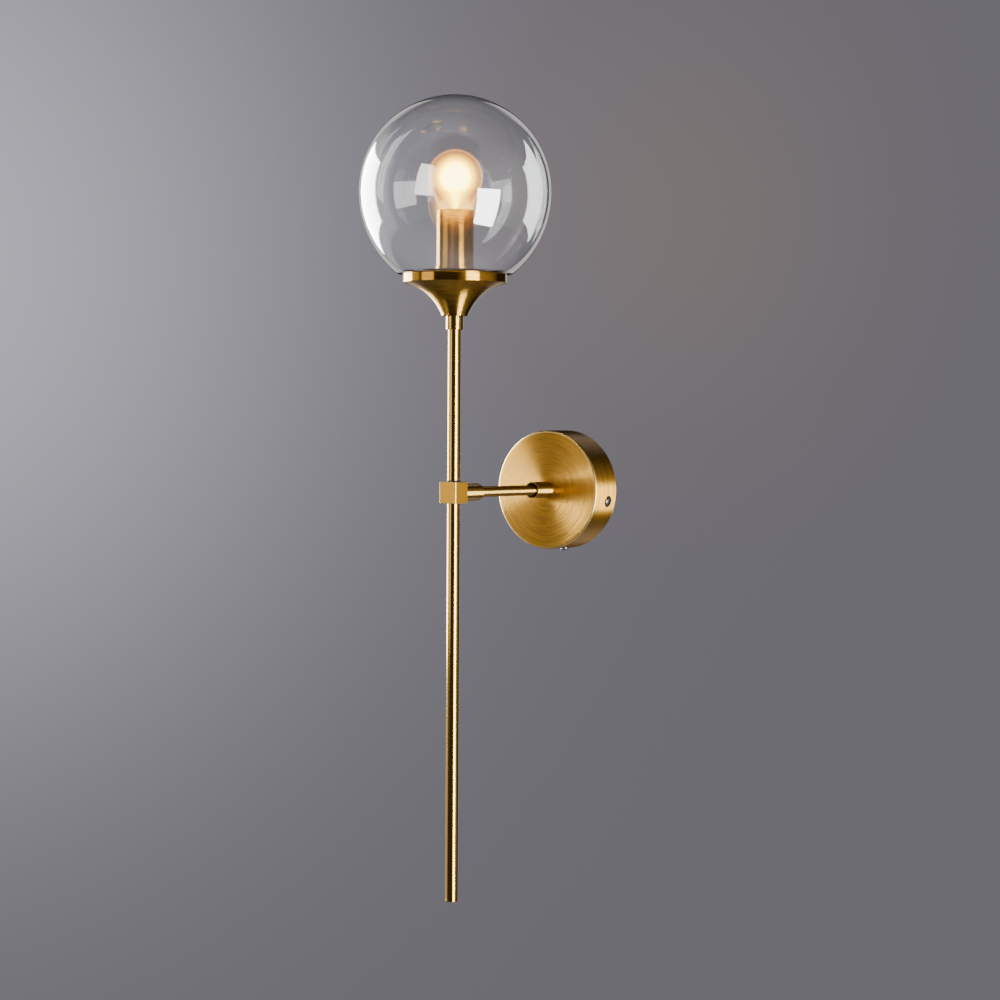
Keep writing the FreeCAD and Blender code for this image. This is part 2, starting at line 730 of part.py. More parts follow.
# --------------------------------------------------------------- ferrule, cup and glass globe
def neck_ferrule():
    """Ferrule under the cup that takes the upper rod's end."""
    socket = "rod_radius + thread_gap"
    body = turned("neck_ferrule", [
        (socket, "0"), ("collar_radius - collar_edge", "0"), ("collar_radius", "collar_edge"),
        ("collar_radius", "ferrule_height - collar_edge"),
        ("collar_radius - collar_edge", "ferrule_height"),
        ("rod_bore", "ferrule_height"), ("rod_bore", "ferrule_socket"), (socket, "ferrule_socket")])
    on_rod(body, "ferrule_start")


def cup():
    """Flared brass cup that carries the glass globe on its rim."""
    band_start = "cup_height - cup_band"
    body = turned("cup", [
        ("thread_hole", "0"), ("cup_foot_radius", "0"), ("cup_foot_radius", "cup_foot_edge"),
        ("cup_rim_radius", band_start, "cup_flare_radius", "right"),
        ("cup_rim_radius", "cup_height"), ("cup_bore", "cup_height"),
        ("cup_bore", f"{band_start} + cup_wall"),
        ("cup_foot_radius - cup_wall", "cup_floor", "cup_flare_radius", "left"),
        ("thread_hole", "cup_floor")])
    on_rod(body, "cup_start")


def cup_stack():
    """The nipple through the cup, its spacer and nut, and the ring that the socket tube stands in."""
    nipple = turned("cup_nipple", tube_corners(
        "thread_bore / 2", "thread_radius", "0", "holder_start + holder_thread_depth - (ferrule_start)"))
    on_rod(nipple, "ferrule_start")
    spacer = turned("spacer_tube", tube_corners(
        "rod_bore", "spacer_diameter / 2", "0", "base_ring_start - (cup_start) - (cup_floor)"))
    on_rod(spacer, "cup_start + cup_floor")
    ring_radius = "ring_bore + base_ring_wall"
    ring = turned("socket_base_ring", [
        ("thread_hole", "0"), (ring_radius, "0"), (ring_radius, "base_ring_height"),
        ("ring_bore", "base_ring_height"), ("ring_bore", "base_ring_floor"),
        ("thread_hole", "base_ring_floor")])
    on_rod(ring, "base_ring_start")
    nut = padded("socket_nut", hexagon_corners("socket_nut_across"), "socket_nut_height")
    round_cut(nut, "socket_nut_thread", "rod_bore", "socket_nut_height + 2 * cut_overrun",
              ("0", "0", "-cut_overrun"))
    on_rod(nut, "cup_rim")


def glass_gasket():
    """Silicone ring inside the cup's band that centres the globe's neck."""
    body = turned("glass_gasket", tube_corners(
        "neck_radius + gasket_gap", "cup_bore - thread_gap", "0", "cup_band - cup_wall - gasket_gap"))
    on_rod(body, "cup_rim - cup_band + cup_wall")


def glass_globe():
    """Blown glass globe: a round top, a slightly longer lower half, a flat base and a neck."""
    neck_bore = "neck_radius - glass_neck_wall"
    body = turned("glass_globe", [
        (neck_bore, "0"), ("neck_radius", "0"), ("neck_radius", "glass_neck_depth"),
        ("glass_corner - glass_corner_run", "glass_neck_depth"),
        ("glass_corner", "glass_neck_depth + glass_corner_rise", "glass_corner_radius", "left"),
        ("globe_radius", "globe_centre", "globe_lower_radius", "left"),
        ("0", "globe_centre + globe_radius", "globe_radius", "left"),
        ("0", "globe_centre + globe_radius - glass_wall"),
        ("globe_radius - glass_wall", "globe_centre", "globe_radius - glass_wall", "right"),
        ("glass_floor", "glass_neck_depth + glass_base", "glass_lower_bore", "right"),
        (neck_bore, "glass_neck_depth + glass_base")])
    on_rod(body, "cup_rim - glass_neck_depth")


# --------------------------------------------------------------- socket tube and lampholder
def socket_sleeve():
    """Brass tube around the lampholder."""
    body = turned("socket_sleeve", tube_corners("sleeve_bore", "sleeve_radius", "0", "sleeve_length"))
    on_rod(body, "cup_rim")


def lampholder():
    """Plastic lampholder on the nipple, with its brass shell and its centre contact tongue."""
    radius = "sleeve_bore - holder_gap"
    chamber = "holder_chamber_diameter / 2"
    body = turned("lampholder_body", [
        ("rod_bore", "0"), (radius, "0"), (radius, "holder_height"), ("holder_bore", "holder_height"),
        ("holder_bore", "holder_seat"), ("0", "holder_seat"), ("0", "holder_thread_end"),
        (chamber, "holder_thread_end"), (chamber, "holder_thread_depth"),
        ("rod_bore", "holder_thread_depth")])
    on_rod(body, "holder_start")
    shell = turned("lampholder_shell", tube_corners(
        "shell_bore", "shell_radius", "0", "holder_height - (holder_seat)"))
    on_rod(shell, "holder_start + holder_seat")
    neck_top = "tongue_height - tongue_head"
    tongue = turned("lampholder_tongue", [
        ("0", "0"), ("tongue_stem / 2", "0"), ("tongue_stem / 2", neck_top),
        ("tongue_diameter / 2", neck_top), ("tongue_diameter / 2", "tongue_height"),
        ("0", "tongue_height")])
    on_rod(tongue, "holder_start + holder_seat")


# --------------------------------------------------------------- bulb
THREAD_FLANK = 0.3  # share of the pitch that each side of a thread takes
THREAD_CREST = 0.2  # share of the pitch that its top takes


def bulb_cap():
    """Screw cap with its ring threads, the black insulator under it and the centre contact."""
    bore = "cap_root - cap_wall"
    corners = [(bore, "cap_start"), ("cap_root", "cap_start")]
    for turn in range(int(SIZES["cap_turns"])):
        rise = f"cap_start + cap_land + cap_pitch * {turn}"
        crest_start = f"{rise} + cap_pitch * {THREAD_FLANK}"
        crest_end = f"{crest_start} + cap_pitch * {THREAD_CREST}"
        corners += [("cap_root", rise), ("cap_crest", crest_start), ("cap_crest", crest_end),
                    ("cap_root", f"{crest_end} + cap_pitch * {THREAD_FLANK}")]
    corners += [
        ("cap_root", "cap_flare_start"), ("cap_flare_radius", "cap_flare_end"),
        ("cap_flare_radius", "cap_top"), ("cap_flare_bore", "cap_top"),
        ("cap_flare_bore", "cap_flare_end + cap_flare_lift"),
        (bore, "cap_flare_start + cap_flare_lift")]
    on_rod(turned("bulb_cap", corners), "bulb_start")
    hole = "bulb_contact_stem / 2 + thread_gap"
    insulator = turned("cap_insulator", [
        (hole, "insulator_start"), ("insulator_foot / 2", "insulator_start"),
        ("cap_root", "cap_start"), (hole, "cap_start")])
    on_rod(insulator, "bulb_start")
    contact = turned("bulb_contact", [
        ("0", "0"), ("bulb_contact_diameter / 2 - bulb_contact_edge", "0"),
        ("bulb_contact_diameter / 2", "bulb_contact_edge"),
        ("bulb_contact_diameter / 2", "bulb_contact_height"),
        ("bulb_contact_stem / 2", "bulb_contact_height"), ("bulb_contact_stem / 2", "cap_start"),
        ("0", "cap_start")])
    on_rod(contact, "bulb_start")


def bulb_glass():
    """Clear round bulb: a ball on a tapered neck."""
    body = turned("bulb_glass", [
        ("bulb_throat - bulb_wall", "bulb_throat_start"), ("bulb_throat", "bulb_throat_start"),
        ("bulb_throat", "bulb_throat_end"), ("bulb_neck", "bulb_neck_height"),
        ("bulb_shoulder", "bulb_centre - bulb_shoulder_drop"),
        ("0", "bulb_length", "bulb_radius", "left"), ("0", "bulb_length - bulb_wall"),
        ("bulb_shoulder_bore", "bulb_centre - bulb_shoulder_drop", "bulb_bore", "right"),
        ("bulb_neck - bulb_wall", "bulb_neck_height"),
        ("bulb_throat - bulb_wall", "bulb_throat_end")])
    on_rod(body, "bulb_start")


def bulb_inside():
    """The bulb's glass stem, the two support wires and the filament's arch."""
    foot = "bulb_throat - bulb_wall - slip_gap"
    waist = "bulb_throat_start + stem_flare_height"
    stem = turned("bulb_stem", [
        ("0", "bulb_throat_start"), (foot, "bulb_throat_start"), (foot, waist),
        ("stem_diameter / 2", f"{waist} + stem_cone_height"), ("stem_diameter / 2", "stem_top"),
        ("stem_button_diameter / 2", "stem_top"),
        ("stem_button_diameter / 2", "stem_top + stem_button"), ("0", "stem_top + stem_button")])
    on_rod(stem, "bulb_start")
    filament = doc.addObject("Part::Torus", "filament")
    filament.Label = "filament"
    bind(filament, "Radius1", "filament_radius")
    bind(filament, "Radius2", "filament_wire / 2")
    filament.Angle3 = 180
    filament.Placement = FreeCAD.Placement(Vector(), FreeCAD.Rotation(Vector(1, 0, 0), 90))
    bind(filament, "Placement.Base.y", "-(rod_line)")
    bind(filament, "Placement.Base.z", "bulb_start + filament_base")
    base = value("stem_top + stem_button")
    third = value("support_height") / 3
    spread = value("support_spread")
    reach = value("filament_radius")
    wires = []
    for side in SIDES:
        points = [Vector(side * spread, 0, base), Vector(side * spread, 0, base + third),
                  Vector(side * reach, 0, base + 2 * third), Vector(side * reach, 0, base + 3 * third)]
        wires.append(wire_tube(points, value("support_bend"), value("support_wire") / 2))
    supports = wire_node("filament_supports", Part.makeCompound(wires))
    on_rod(supports, "bulb_start")


# --------------------------------------------------------------- leads inside the fitting
def leads():
    """Live and neutral leads from the terminal block to the lampholder, and the earth lead."""
    line = value("terminal_line")
    low = value("terminal_top - lead_end")
    bend = value("lead_bend")
    radius = value("lead_diameter / 2")
    pitch = value("terminal_pitch")
    clear = value("terminal_top + lead_rise")
    entry = value("canopy_nipple_start - lead_turn_inset")
    for name, pole, side in (("live_lead", -1, -1), ("neutral_lead", 0, 1)):
        across = side * value("lead_diameter + lead_gap") / 2
        points = [Vector(pole * pitch, low, line), Vector(pole * pitch, clear, line),
                  Vector(across, 0, entry), Vector(across, 0, value("rod_line")),
                  Vector(across, value("lead_top"), value("rod_line"))]
        on_arm(wire_node(name, wire_tube(points, bend, radius)), "0")
    earth_line = value("plate_thickness + thread_gap") + radius
    tag_edge = value("earth_z + earth_tag_diameter / 2 + slip_gap")
    earth_x = value("earth_x")
    shoulder = clear - value("earth_lead_drop")
    points = [Vector(pitch, low, line), Vector(pitch, shoulder, line),
              Vector((pitch + earth_x) / 2, clear, (line + earth_line) / 2),
              Vector(earth_x, shoulder, earth_line), Vector(earth_x, tag_edge, earth_line)]
    on_arm(wire_node("earth_lead", wire_tube(points, value("earth_lead_bend"), radius)), "0")


# --------------------------------------------------------------- build, check and write
NODES = [
    "wall_plate", "earth_screw", "earth_tag", "terminal_block", "terminal_screws",
    "canopy_cover", "canopy_screws", "canopy_nipple", "canopy_nut", "canopy_washer",
    "canopy_collar", "arm_tube", "block_collar", "block_nipple", "connector_block",
    "rod_washer", "upper_rod", "upper_rod_nipple", "lower_rod", "lower_rod_stud", "rod_end_plug",
    "neck_ferrule", "cup", "cup_nipple", "spacer_tube", "socket_base_ring", "socket_nut",
    "glass_gasket", "glass_globe", "socket_sleeve",
    "lampholder_body", "lampholder_shell", "lampholder_tongue",
    "bulb_glass", "bulb_cap", "cap_insulator", "bulb_contact", "bulb_stem",
    "filament", "filament_supports", "live_lead", "neutral_lead", "earth_lead",
]


def check():
    """Stop if any object failed, or if a sub-part's shape is empty or not valid."""
    for thing in doc.Objects:
        faults = {"Invalid", "Error"} & set(thing.State)
        if faults:
            raise RuntimeError(f"{thing.Name}: {faults}")
    for name in NODES:
        shape = doc.getObject(name).Shape
        if shape.isNull() or not shape.isValid() or not shape.Solids:
            raise RuntimeError(f"{name}: its shape is empty or not valid")


def write():
    """Write each sub-part to its own file."""
    os.makedirs("parts", exist_ok=True)
    for name in NODES:
        shape = doc.getObject(name).Shape
        shape.exportStep(f"parts/{name}.step")
        box = shape.BoundBox
        print(f"{name:20s} {len(shape.Solids)} {shape.Volume:10.1f}  z {box.ZMin:8.2f} {box.ZMax:8.2f}")


doc = FreeCAD.newDocument("globe_wall_sconce")
sheet = make_sheet()
for make in (wall_plate, canopy_cover, canopy_screws, earth_screw, terminal_block,
             canopy_nipple, canopy_collar, arm_tube, block_collar, connector_block, rods,
             neck_ferrule, cup, cup_stack, glass_gasket, glass_globe, socket_sleeve, lampholder,
             bulb_cap, bulb_glass, bulb_inside, leads):
    make()
doc.recompute()
check()
write()
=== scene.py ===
"""Looks of the globe wall sconce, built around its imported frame.

Turned brass, drawn tube, blown glass and the lit bulb are made as fine meshes in the places of
the frame's nodes; every other node keeps its shape and gets a finish of its own."""

from math import atan2, cos, degrees, pi, radians, sin, sqrt, tan

import bmesh
import bpy
from bpy.props import FloatProperty, FloatVectorProperty, IntProperty, PointerProperty
from bpy.types import Operator, Panel, PropertyGroup
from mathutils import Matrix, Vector


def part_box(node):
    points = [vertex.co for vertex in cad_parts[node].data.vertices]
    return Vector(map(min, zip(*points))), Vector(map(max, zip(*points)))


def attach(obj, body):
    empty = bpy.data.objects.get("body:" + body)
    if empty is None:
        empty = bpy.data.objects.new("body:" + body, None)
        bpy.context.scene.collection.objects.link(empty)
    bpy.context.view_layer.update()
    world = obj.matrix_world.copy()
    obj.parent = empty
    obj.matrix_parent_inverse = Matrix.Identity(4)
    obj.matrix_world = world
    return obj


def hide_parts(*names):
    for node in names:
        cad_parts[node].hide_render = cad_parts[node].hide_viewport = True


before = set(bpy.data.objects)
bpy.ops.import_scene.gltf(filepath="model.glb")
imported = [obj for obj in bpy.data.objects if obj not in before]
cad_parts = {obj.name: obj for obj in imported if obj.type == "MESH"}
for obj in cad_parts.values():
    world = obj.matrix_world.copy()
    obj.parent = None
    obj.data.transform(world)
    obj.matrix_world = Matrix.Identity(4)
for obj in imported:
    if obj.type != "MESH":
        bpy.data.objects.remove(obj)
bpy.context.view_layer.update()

bl_info = {
    "name": "Globe wall sconce",
    "version": (1, 0, 0),
    "blender": (4, 5, 0),
    "location": "View3D > Sidebar > Sconce",
    "description": "Brass wall light with a lit bulb in a clear glass globe",
    "category": "Add Mesh",
}

MM = 0.001
STREAK = 700.0  # streaks of the brass grain in a metre, across the grain
TWIST = 1.2  # streaks in a radian, along the grain
LOBES = 9  # tipped reflections that make one long gleam
TILT = 0.45  # how far the grooves of spun brass tip its surface
FILLET_STEPS = 4  # faces in a rounded edge
SHARP_EDGE = radians(38.0)
STUD_BORE = 4.25 * MM  # radius of the nipple's holes in the cup and the socket's ring

# colours of single places
# painted highlight on the canopy's rounded edge
CANOPY_EDGE_HIGHLIGHT = (0.98, 0.70, 0.24)
# painted shadow in the gap round each side screw's head
SCREW_GAP_SHADE = (0.02, 0.012, 0.008)
# painted shade inside the open end of the canopy's collar
COLLAR_RECESS_SHADE = (0.02, 0.014, 0.008)
# painted shade: darker brass for the cup's downward-facing flare
FLARE_SHADED_BRASS = (0.40, 0.225, 0.030)
TUBE_BRASS = (0.52, 0.26, 0.024)
BLOCK_BRASS = (0.80, 0.42, 0.035)
# painted highlight on the connector block's edges
BLOCK_EDGE_HIGHLIGHT = (1.0, 0.72, 0.26)
GLOW_HEAT = ((0.0, (0.020, 0.008, 0.001)), (0.35, (0.050, 0.021, 0.003)), (0.60, (0.105, 0.055, 0.004)),
             (0.77, (0.20, 0.13, 0.007)), (0.87, (0.48, 0.38, 0.035)), (1.0, (2.8, 2.6, 1.10)))


def span(node):
    """A node's lowest and highest corners at rest."""
    low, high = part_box(node)
    return Vector(low), Vector(high)


def width(node):
    """A node's size across X."""
    low, high = span(node)
    return high.x - low.x


def middle(node):
    """The middle of a node's box."""
    low, high = span(node)
    return (low + high) / 2


ROD_LINE = middle("lower_rod").y


# ------------------------------------------------------------------------------- sizes
class SconceSizes(PropertyGroup):
    """Sizes of the fine meshes that the frame's boxes don't give."""
    canopy_wall: FloatProperty(
        name="Canopy wall", description="Thickness of the spun canopy", default=1.2 * MM, unit="LENGTH")
    canopy_edge: FloatProperty(
        name="Canopy edge", description="Rounding of the canopy's bright edge",
        default=3.4 * MM, unit="LENGTH")
    collar_recess: FloatProperty(
        name="Collar recess", description="Depth of the open end of the canopy's collar",
        default=4.0 * MM, unit="LENGTH")
    tube_wall: FloatProperty(
        name="Tube wall", description="Wall of the rods and the arm", default=1.0 * MM, unit="LENGTH")
    edge_round: FloatProperty(
        name="Edge round", description="Rounding of the turned edges", default=0.3 * MM, unit="LENGTH")
    cup_wall: FloatProperty(
        name="Cup wall", description="Thickness of the flared cup", default=1.2 * MM, unit="LENGTH")
    cup_band: FloatProperty(
        name="Cup band", description="Height of the upright band round the cup's rim",
        default=6.5 * MM, unit="LENGTH")
    cup_foot: FloatProperty(
        name="Cup foot", description="Radius of the cup's narrow foot",
        default=10.65 * MM, unit="LENGTH")
    cup_flare: FloatProperty(
        name="Cup flare", description="Radius of the hollow sweep under the rim",
        default=42.1 * MM, unit="LENGTH")
    glass_wall: FloatProperty(
        name="Glass wall", description="Thickness of the blown globe", default=2.6 * MM, unit="LENGTH")
    globe_lower: FloatProperty(
        name="Lower sweep", description="Radius of the globe's longer lower half",
        default=82.0 * MM, unit="LENGTH")
    globe_neck: FloatProperty(
        name="Globe neck", description="Outer radius of the globe's neck",
        default=36.0 * MM, unit="LENGTH")
    neck_depth: FloatProperty(
        name="Neck depth", description="Height of the globe's neck below its base",
        default=4.5 * MM, unit="LENGTH")
    bulb_wall: FloatProperty(
        name="Bulb wall", description="Thickness of the bulb's glass", default=0.8 * MM, unit="LENGTH")
    slot: FloatProperty(
        name="Screw slot", description="Width of the slot in a side screw's head",
        default=1.0 * MM, unit="LENGTH")
    screw_angles: FloatVectorProperty(
        name="Screw angles", description="Where the side screws sit round the canopy",
        default=(radians(-10.8), radians(-83.4), radians(133.0)), unit="ROTATION")
    screw_depth: FloatProperty(
        name="Screw depth", description="Distance of the side screws from the wall",
        default=11.0 * MM, unit="LENGTH")
    segments: IntProperty(
        name="Segments", description="Faces round a large turned piece", default=160)


class SconceFinishes(PropertyGroup):
    """Colours and strengths of the finishes and of the light."""
    polished: FloatVectorProperty(
        name="Polished brass", description="Drawn and polished tube",
        default=(0.52, 0.325, 0.070), subtype="COLOR")
    satin: FloatVectorProperty(
        name="Satin brass", description="Turned and brushed brass",
        default=(0.55, 0.282, 0.032), subtype="COLOR")
    aged: FloatVectorProperty(
        name="Aged brass", description="Darker tone in the brushed grain",
        default=(0.20, 0.115, 0.026), subtype="COLOR")
    glass: FloatVectorProperty(
        name="Globe glass", description="Tint of the clear glass",
        default=(0.985, 0.995, 0.99), subtype="COLOR")
    haze: FloatVectorProperty(
        name="Rim glow", description="Colour of the lit rim of the bulb's glass",
        default=(1.0, 0.42, 0.04), subtype="COLOR")
    core_strength: FloatProperty(
        name="Glow strength", description="Brightness of the glow's heart", default=45.0)
    wall: FloatVectorProperty(
        name="Surroundings", description="Plain grey seen behind the fitting",
        default=(1.0, 0.95, 1.09), subtype="COLOR")


# --------------------------------------------------------------- sums on shader sockets
class Signal:
    """A number in a node tree. Sums on it add Math nodes."""

    def __init__(self, tree, socket):
        self.tree = tree
        self.socket = socket

    def math(self, operation, *terms):
        node = self.tree.nodes.new("ShaderNodeMath")
        node.operation = operation
        for slot, term in zip(node.inputs, terms):
            if isinstance(term, Signal):
                self.tree.links.new(term.socket, slot)
            else:
                slot.default_value = term
        return Signal(self.tree, node.outputs[0])

    def __add__(self, other):
        return self.math("ADD", self, other)

    __radd__ = __add__

    def __sub__(self, other):
        return self.math("SUBTRACT", self, other)

    def __rsub__(self, other):
        return self.math("SUBTRACT", other, self)

    def __mul__(self, other):
        return self.math("MULTIPLY", self, other)

    __rmul__ = __mul__

    def __truediv__(self, other):
        return self.math("DIVIDE", self, other)

    def __rtruediv__(self, other):
        return self.math("DIVIDE", other, self)

    def __pow__(self, other):
        return self.math("POWER", self, other)

    def root(self):
        return self.math("SQRT", self)

    def angle(self, other):
        return self.math("ARCTAN2", self, other)

    def above(self, other):
        return self.math("GREATER_THAN", self, other)

    def size(self):
        return self.math("ABSOLUTE", self)

    def exponent(self):
        return self.math("EXPONENT", self)

    def clamped(self):
        return self.math("MINIMUM", self.math("MAXIMUM", self, 0.0), 1.0)

    def rise(self, edge, soft):
        """From 0 at an edge to 1 a little above it."""
        return ((self - edge) / soft).clamped()

    def fall(self, edge, soft):
        """From 1 to 0 at an edge, starting a little below it."""
        return ((edge - self) / soft).clamped()


class Shader:
    """A node tree of a material or the world, with one method that adds nodes."""

    def __init__(self, owner):
        owner.use_nodes = True
        self.owner = owner
        self.tree = owner.node_tree
        self.tree.nodes.clear()

    def node(self, kind, settings=None, **values):
        """Add a node: its settings first, then its sockets' values or links."""
        made = self.tree.nodes.new(kind)
        for name, setting in (settings or {}).items():
            if name == "stops":
                self.set_ramp(made.color_ramp, setting)
            else:
                setattr(made, name, setting)
        for name, value in values.items():
            self.fill(self.socket(made, name), value)
        return made

    @staticmethod
    def set_ramp(ramp, stops):
        """Give a colour ramp its (place, colour) stops."""
        while len(ramp.elements) < len(stops):
            ramp.elements.new(0.5)
        for element, (place, colour) in zip(ramp.elements, stops):
            element.position = place
            element.color = (*colour, 1.0)

    @staticmethod
    def socket(made, name):
        """The usable input of a node by its name in lower case, or by 'in' and its number."""
        if name.startswith("in_"):
            return made.inputs[int(name[3:])]
        wanted = name.replace("_", " ")
        return next(item for item in made.inputs if item.enabled and item.name.lower() == wanted)

    def fill(self, socket, value):
        if isinstance(value, Signal):
            value = value.socket
        if isinstance(value, bpy.types.NodeSocket):
            self.tree.links.new(value, socket)
        elif socket.type == "RGBA" and len(value) == 3:
            socket.default_value = (*value, 1.0)
        else:
            socket.default_value = value

    def signal(self, socket):
        return Signal(self.tree, socket)

    def place(self):
        """The three Object coordinates as numbers, and the whole vector."""
        coordinates = self.node("ShaderNodeTexCoord").outputs["Object"]
        parts = self.node("ShaderNodeSeparateXYZ", vector=coordinates).outputs
        return [self.signal(part) for part in parts], coordinates

    def vector(self, x, y, z):
        return self.node("ShaderNodeCombineXYZ", x=x, y=y, z=z).outputs[0]

    def noise(self, vector, scale=1.0, detail=2.0, roughness=0.5):
        made = self.node("ShaderNodeTexNoise", vector=vector, scale=scale, detail=detail, roughness=roughness)
        return self.signal(made.outputs[0])

    def blend(self, factor, first, second):
        """A colour between two colours."""
        made = self.node("ShaderNodeMix", {"data_type": "RGBA"}, factor=factor, a=first, b=second)
        return next(item for item in made.outputs if item.enabled)

    def bump(self, height, strength, distance):
        return self.node("ShaderNodeBump", strength=strength, distance=distance, height=height).outputs[0]

    def skin(self, **values):
        """A Principled surface."""
        return self.node("ShaderNodeBsdfPrincipled", **values).outputs[0]

    def mix(self, share, first, second):
        """A surface between two surfaces."""
        return self.node("ShaderNodeMixShader", in_0=share, in_1=first, in_2=second).outputs[0]

    def finish(self, surface):
        """End the tree in a surface, and hand its material back."""
        self.node("ShaderNodeOutputMaterial", surface=surface)
        return self.owner


def new_finish(name):
    """The shader that fills a new material."""
    return Shader(bpy.data.materials.new(name))


def along(shader, line):
    """Distance from a piece's axis, distance along it and angle round it, as three numbers."""
    (x, y, z), _ = shader.place()
    if line == "rod":
        across, back, length = x, y - ROD_LINE, z
    else:
        across, back, length = x, z, y
    return (across * across + back * back).root(), length, across.angle(back)


def bell(across, up, narrow, low):
    """A soft round spot where two numbers are near 0."""
    return (across * across * -narrow + up * up * -low).exponent()


def brass_grain(shader, line):
    """The fine streaks that run round a brass piece, and its larger clouded patches."""
    radius, length, angle = along(shader, line)
    lines = shader.vector(radius * STREAK, length * STREAK, angle * TWIST)
    _, coordinates = shader.place()
    return (shader.noise(lines, detail=4.0, roughness=0.65),
            shader.noise(coordinates, scale=38.0, detail=4.0, roughness=0.6))


def tipped_normal(shader, line, amount):
    """The surface's normal, tipped to and fro across the grooves that run round a piece's axis."""
    def vector_math(operation, *terms):
        return shader.node("ShaderNodeVectorMath", {"operation": operation},
                           **{f"in_{index}": term for index, term in enumerate(terms)}).outputs[0]
    _, coordinates = shader.place()
    normal = shader.node("ShaderNodeNewGeometry").outputs["Normal"]
    if line == "rod":
        centre, axis = (0.0, ROD_LINE, 0.0), (0.0, 0.0, 1.0)
    else:
        centre, axis = (0.0, 0.0, 0.0), (0.0, 1.0, 0.0)
    around = vector_math("CROSS_PRODUCT", axis, vector_math("SUBTRACT", coordinates, centre))
    across = vector_math("NORMALIZE", vector_math("CROSS_PRODUCT", normal, around))
    spread = shader.vector(amount, amount, amount)
    return vector_math("NORMALIZE", vector_math("MULTIPLY_ADD", across, spread, normal))


def spun_brass(name, line, tone, dark, rough, tips, seats=(), patina=0.6):
    """Spun or brushed brass. Its grooves run round the axis, so it gleams across them: several
    reflections, each tipped a little further, make one long gleam. Round each screw seat the colour
    is painted dark, a painted shadow of the gap round the screw's head."""
    shader = new_finish(name)
    rings, cloud = brass_grain(shader, line)
    place, _ = shader.place()
    aged = ((rings - 0.42) * 3.2 + (cloud - 0.5) * 0.8).clamped() * patina
    colour = shader.blend(aged, tone, dark)
    # painted shadow: a dark disc round each screw seat stands for the shade in the gap round the head
    for seat in seats:
        reach = sum((part - middle) * (part - middle) for part, middle in zip(place, seat)).root()
        colour = shader.blend(reach.fall(5.0 * MM, 0.5 * MM), colour, SCREW_GAP_SHADE)
    gloss = rough + (cloud - 0.5) * 0.06
    low, high = tips
    mixed = None
    for count in range(LOBES):
        tip = low + (high - low) * count / (LOBES - 1)
        lobe = shader.skin(base_color=colour, metallic=1.0, roughness=gloss,
                           normal=tipped_normal(shader, line, (rings - 0.5) * TILT + tip))
        mixed = lobe if mixed is None else shader.mix(1.0 / (count + 1), mixed, lobe)
    return shader.finish(mixed)


def turned_brass(name, tone, dark, rough, grain, patina, stretch=0.9):
    """Brass turned or drawn on the rod's line: its grooves stretch every reflection upwards."""
    shader = new_finish(name)
    streaks, cloud = brass_grain(shader, "rod")
    aged = ((streaks - 0.42) * 2.4 + (cloud - 0.5) * 0.8).clamped() * patina
    return shader.finish(shader.skin(
        base_color=shader.blend(aged, tone, dark), metallic=1.0, roughness=rough + (cloud - 0.5) * 0.04,
        normal=tipped_normal(shader, "rod", (streaks - 0.5) * grain),
        anisotropic=stretch, anisotropic_rotation=0.25))


def plain_metal(name, colour, rough):
    """Plated or bare metal with a faint uneven sheen."""
    shader = new_finish(name)
    _, coordinates = shader.place()
    cloud = shader.noise(coordinates, scale=160.0, detail=4.0, roughness=0.6)
    grain = shader.noise(coordinates, scale=1900.0, detail=2.0)
    toned = shader.blend(cloud, colour, [part * 0.8 for part in colour])
    return shader.finish(shader.skin(
        base_color=toned, metallic=1.0, roughness=rough + (cloud - 0.5) * 0.22,
        normal=shader.bump(grain, 1.0, 0.01 * MM)))


def moulded(name, colour, rough, second=None):
    """Moulded plastic, rubber or insulation; a second colour runs along it as a stripe."""
    shader = new_finish(name)
    _, coordinates = shader.place()
    cloud = shader.noise(coordinates, scale=240.0, detail=4.0)
    grain = shader.noise(coordinates, scale=2600.0, detail=1.0)
    toned = shader.blend(cloud * 0.35, colour, [part * 0.7 for part in colour])
    if second:
        stripe = shader.signal(shader.node("ShaderNodeTexWave", vector=coordinates, scale=95.0).outputs[1])
        toned = shader.blend(stripe.above(0.62), toned, second)
    return shader.finish(shader.skin(
        base_color=toned, roughness=rough + (cloud - 0.5) * 0.12,
        normal=shader.bump(grain, 0.6, 0.012 * MM)))


def blown_glass(name, tint, wave):
    """Clear glass with the faint waves of blowing."""
    shader = new_finish(name)
    _, coordinates = shader.place()
    waves = shader.noise(coordinates, scale=22.0, detail=2.0)
    return shader.finish(shader.skin(
        base_color=tint, roughness=0.0, ior=1.56, transmission_weight=1.0, coat_weight=1.0,
        coat_roughness=0.0, coat_ior=1.85, normal=shader.bump(waves, 1.0, wave)))


def glow(name, strength):
    """Lit haze in the bulb: white hot where it is seen through its depth, orange and clear at
    its rim."""
    shader = new_finish(name)
    facing = shader.signal(shader.node("ShaderNodeLayerWeight", blend=0.5).outputs["Facing"])
    depth = 1.0 - facing
    heat = shader.node("ShaderNodeValToRGB", {"stops": GLOW_HEAT}, fac=depth).outputs[0]
    light = shader.skin(base_color=(0.0, 0.0, 0.0), roughness=1.0, specular_ior_level=0.0,
                        emission_color=heat, emission_strength=strength)
    clear = shader.node("ShaderNodeBsdfTransparent").outputs[0]
    density = (depth * 1.18).clamped() ** 2.0
    return shader.finish(shader.mix(density, clear, light))


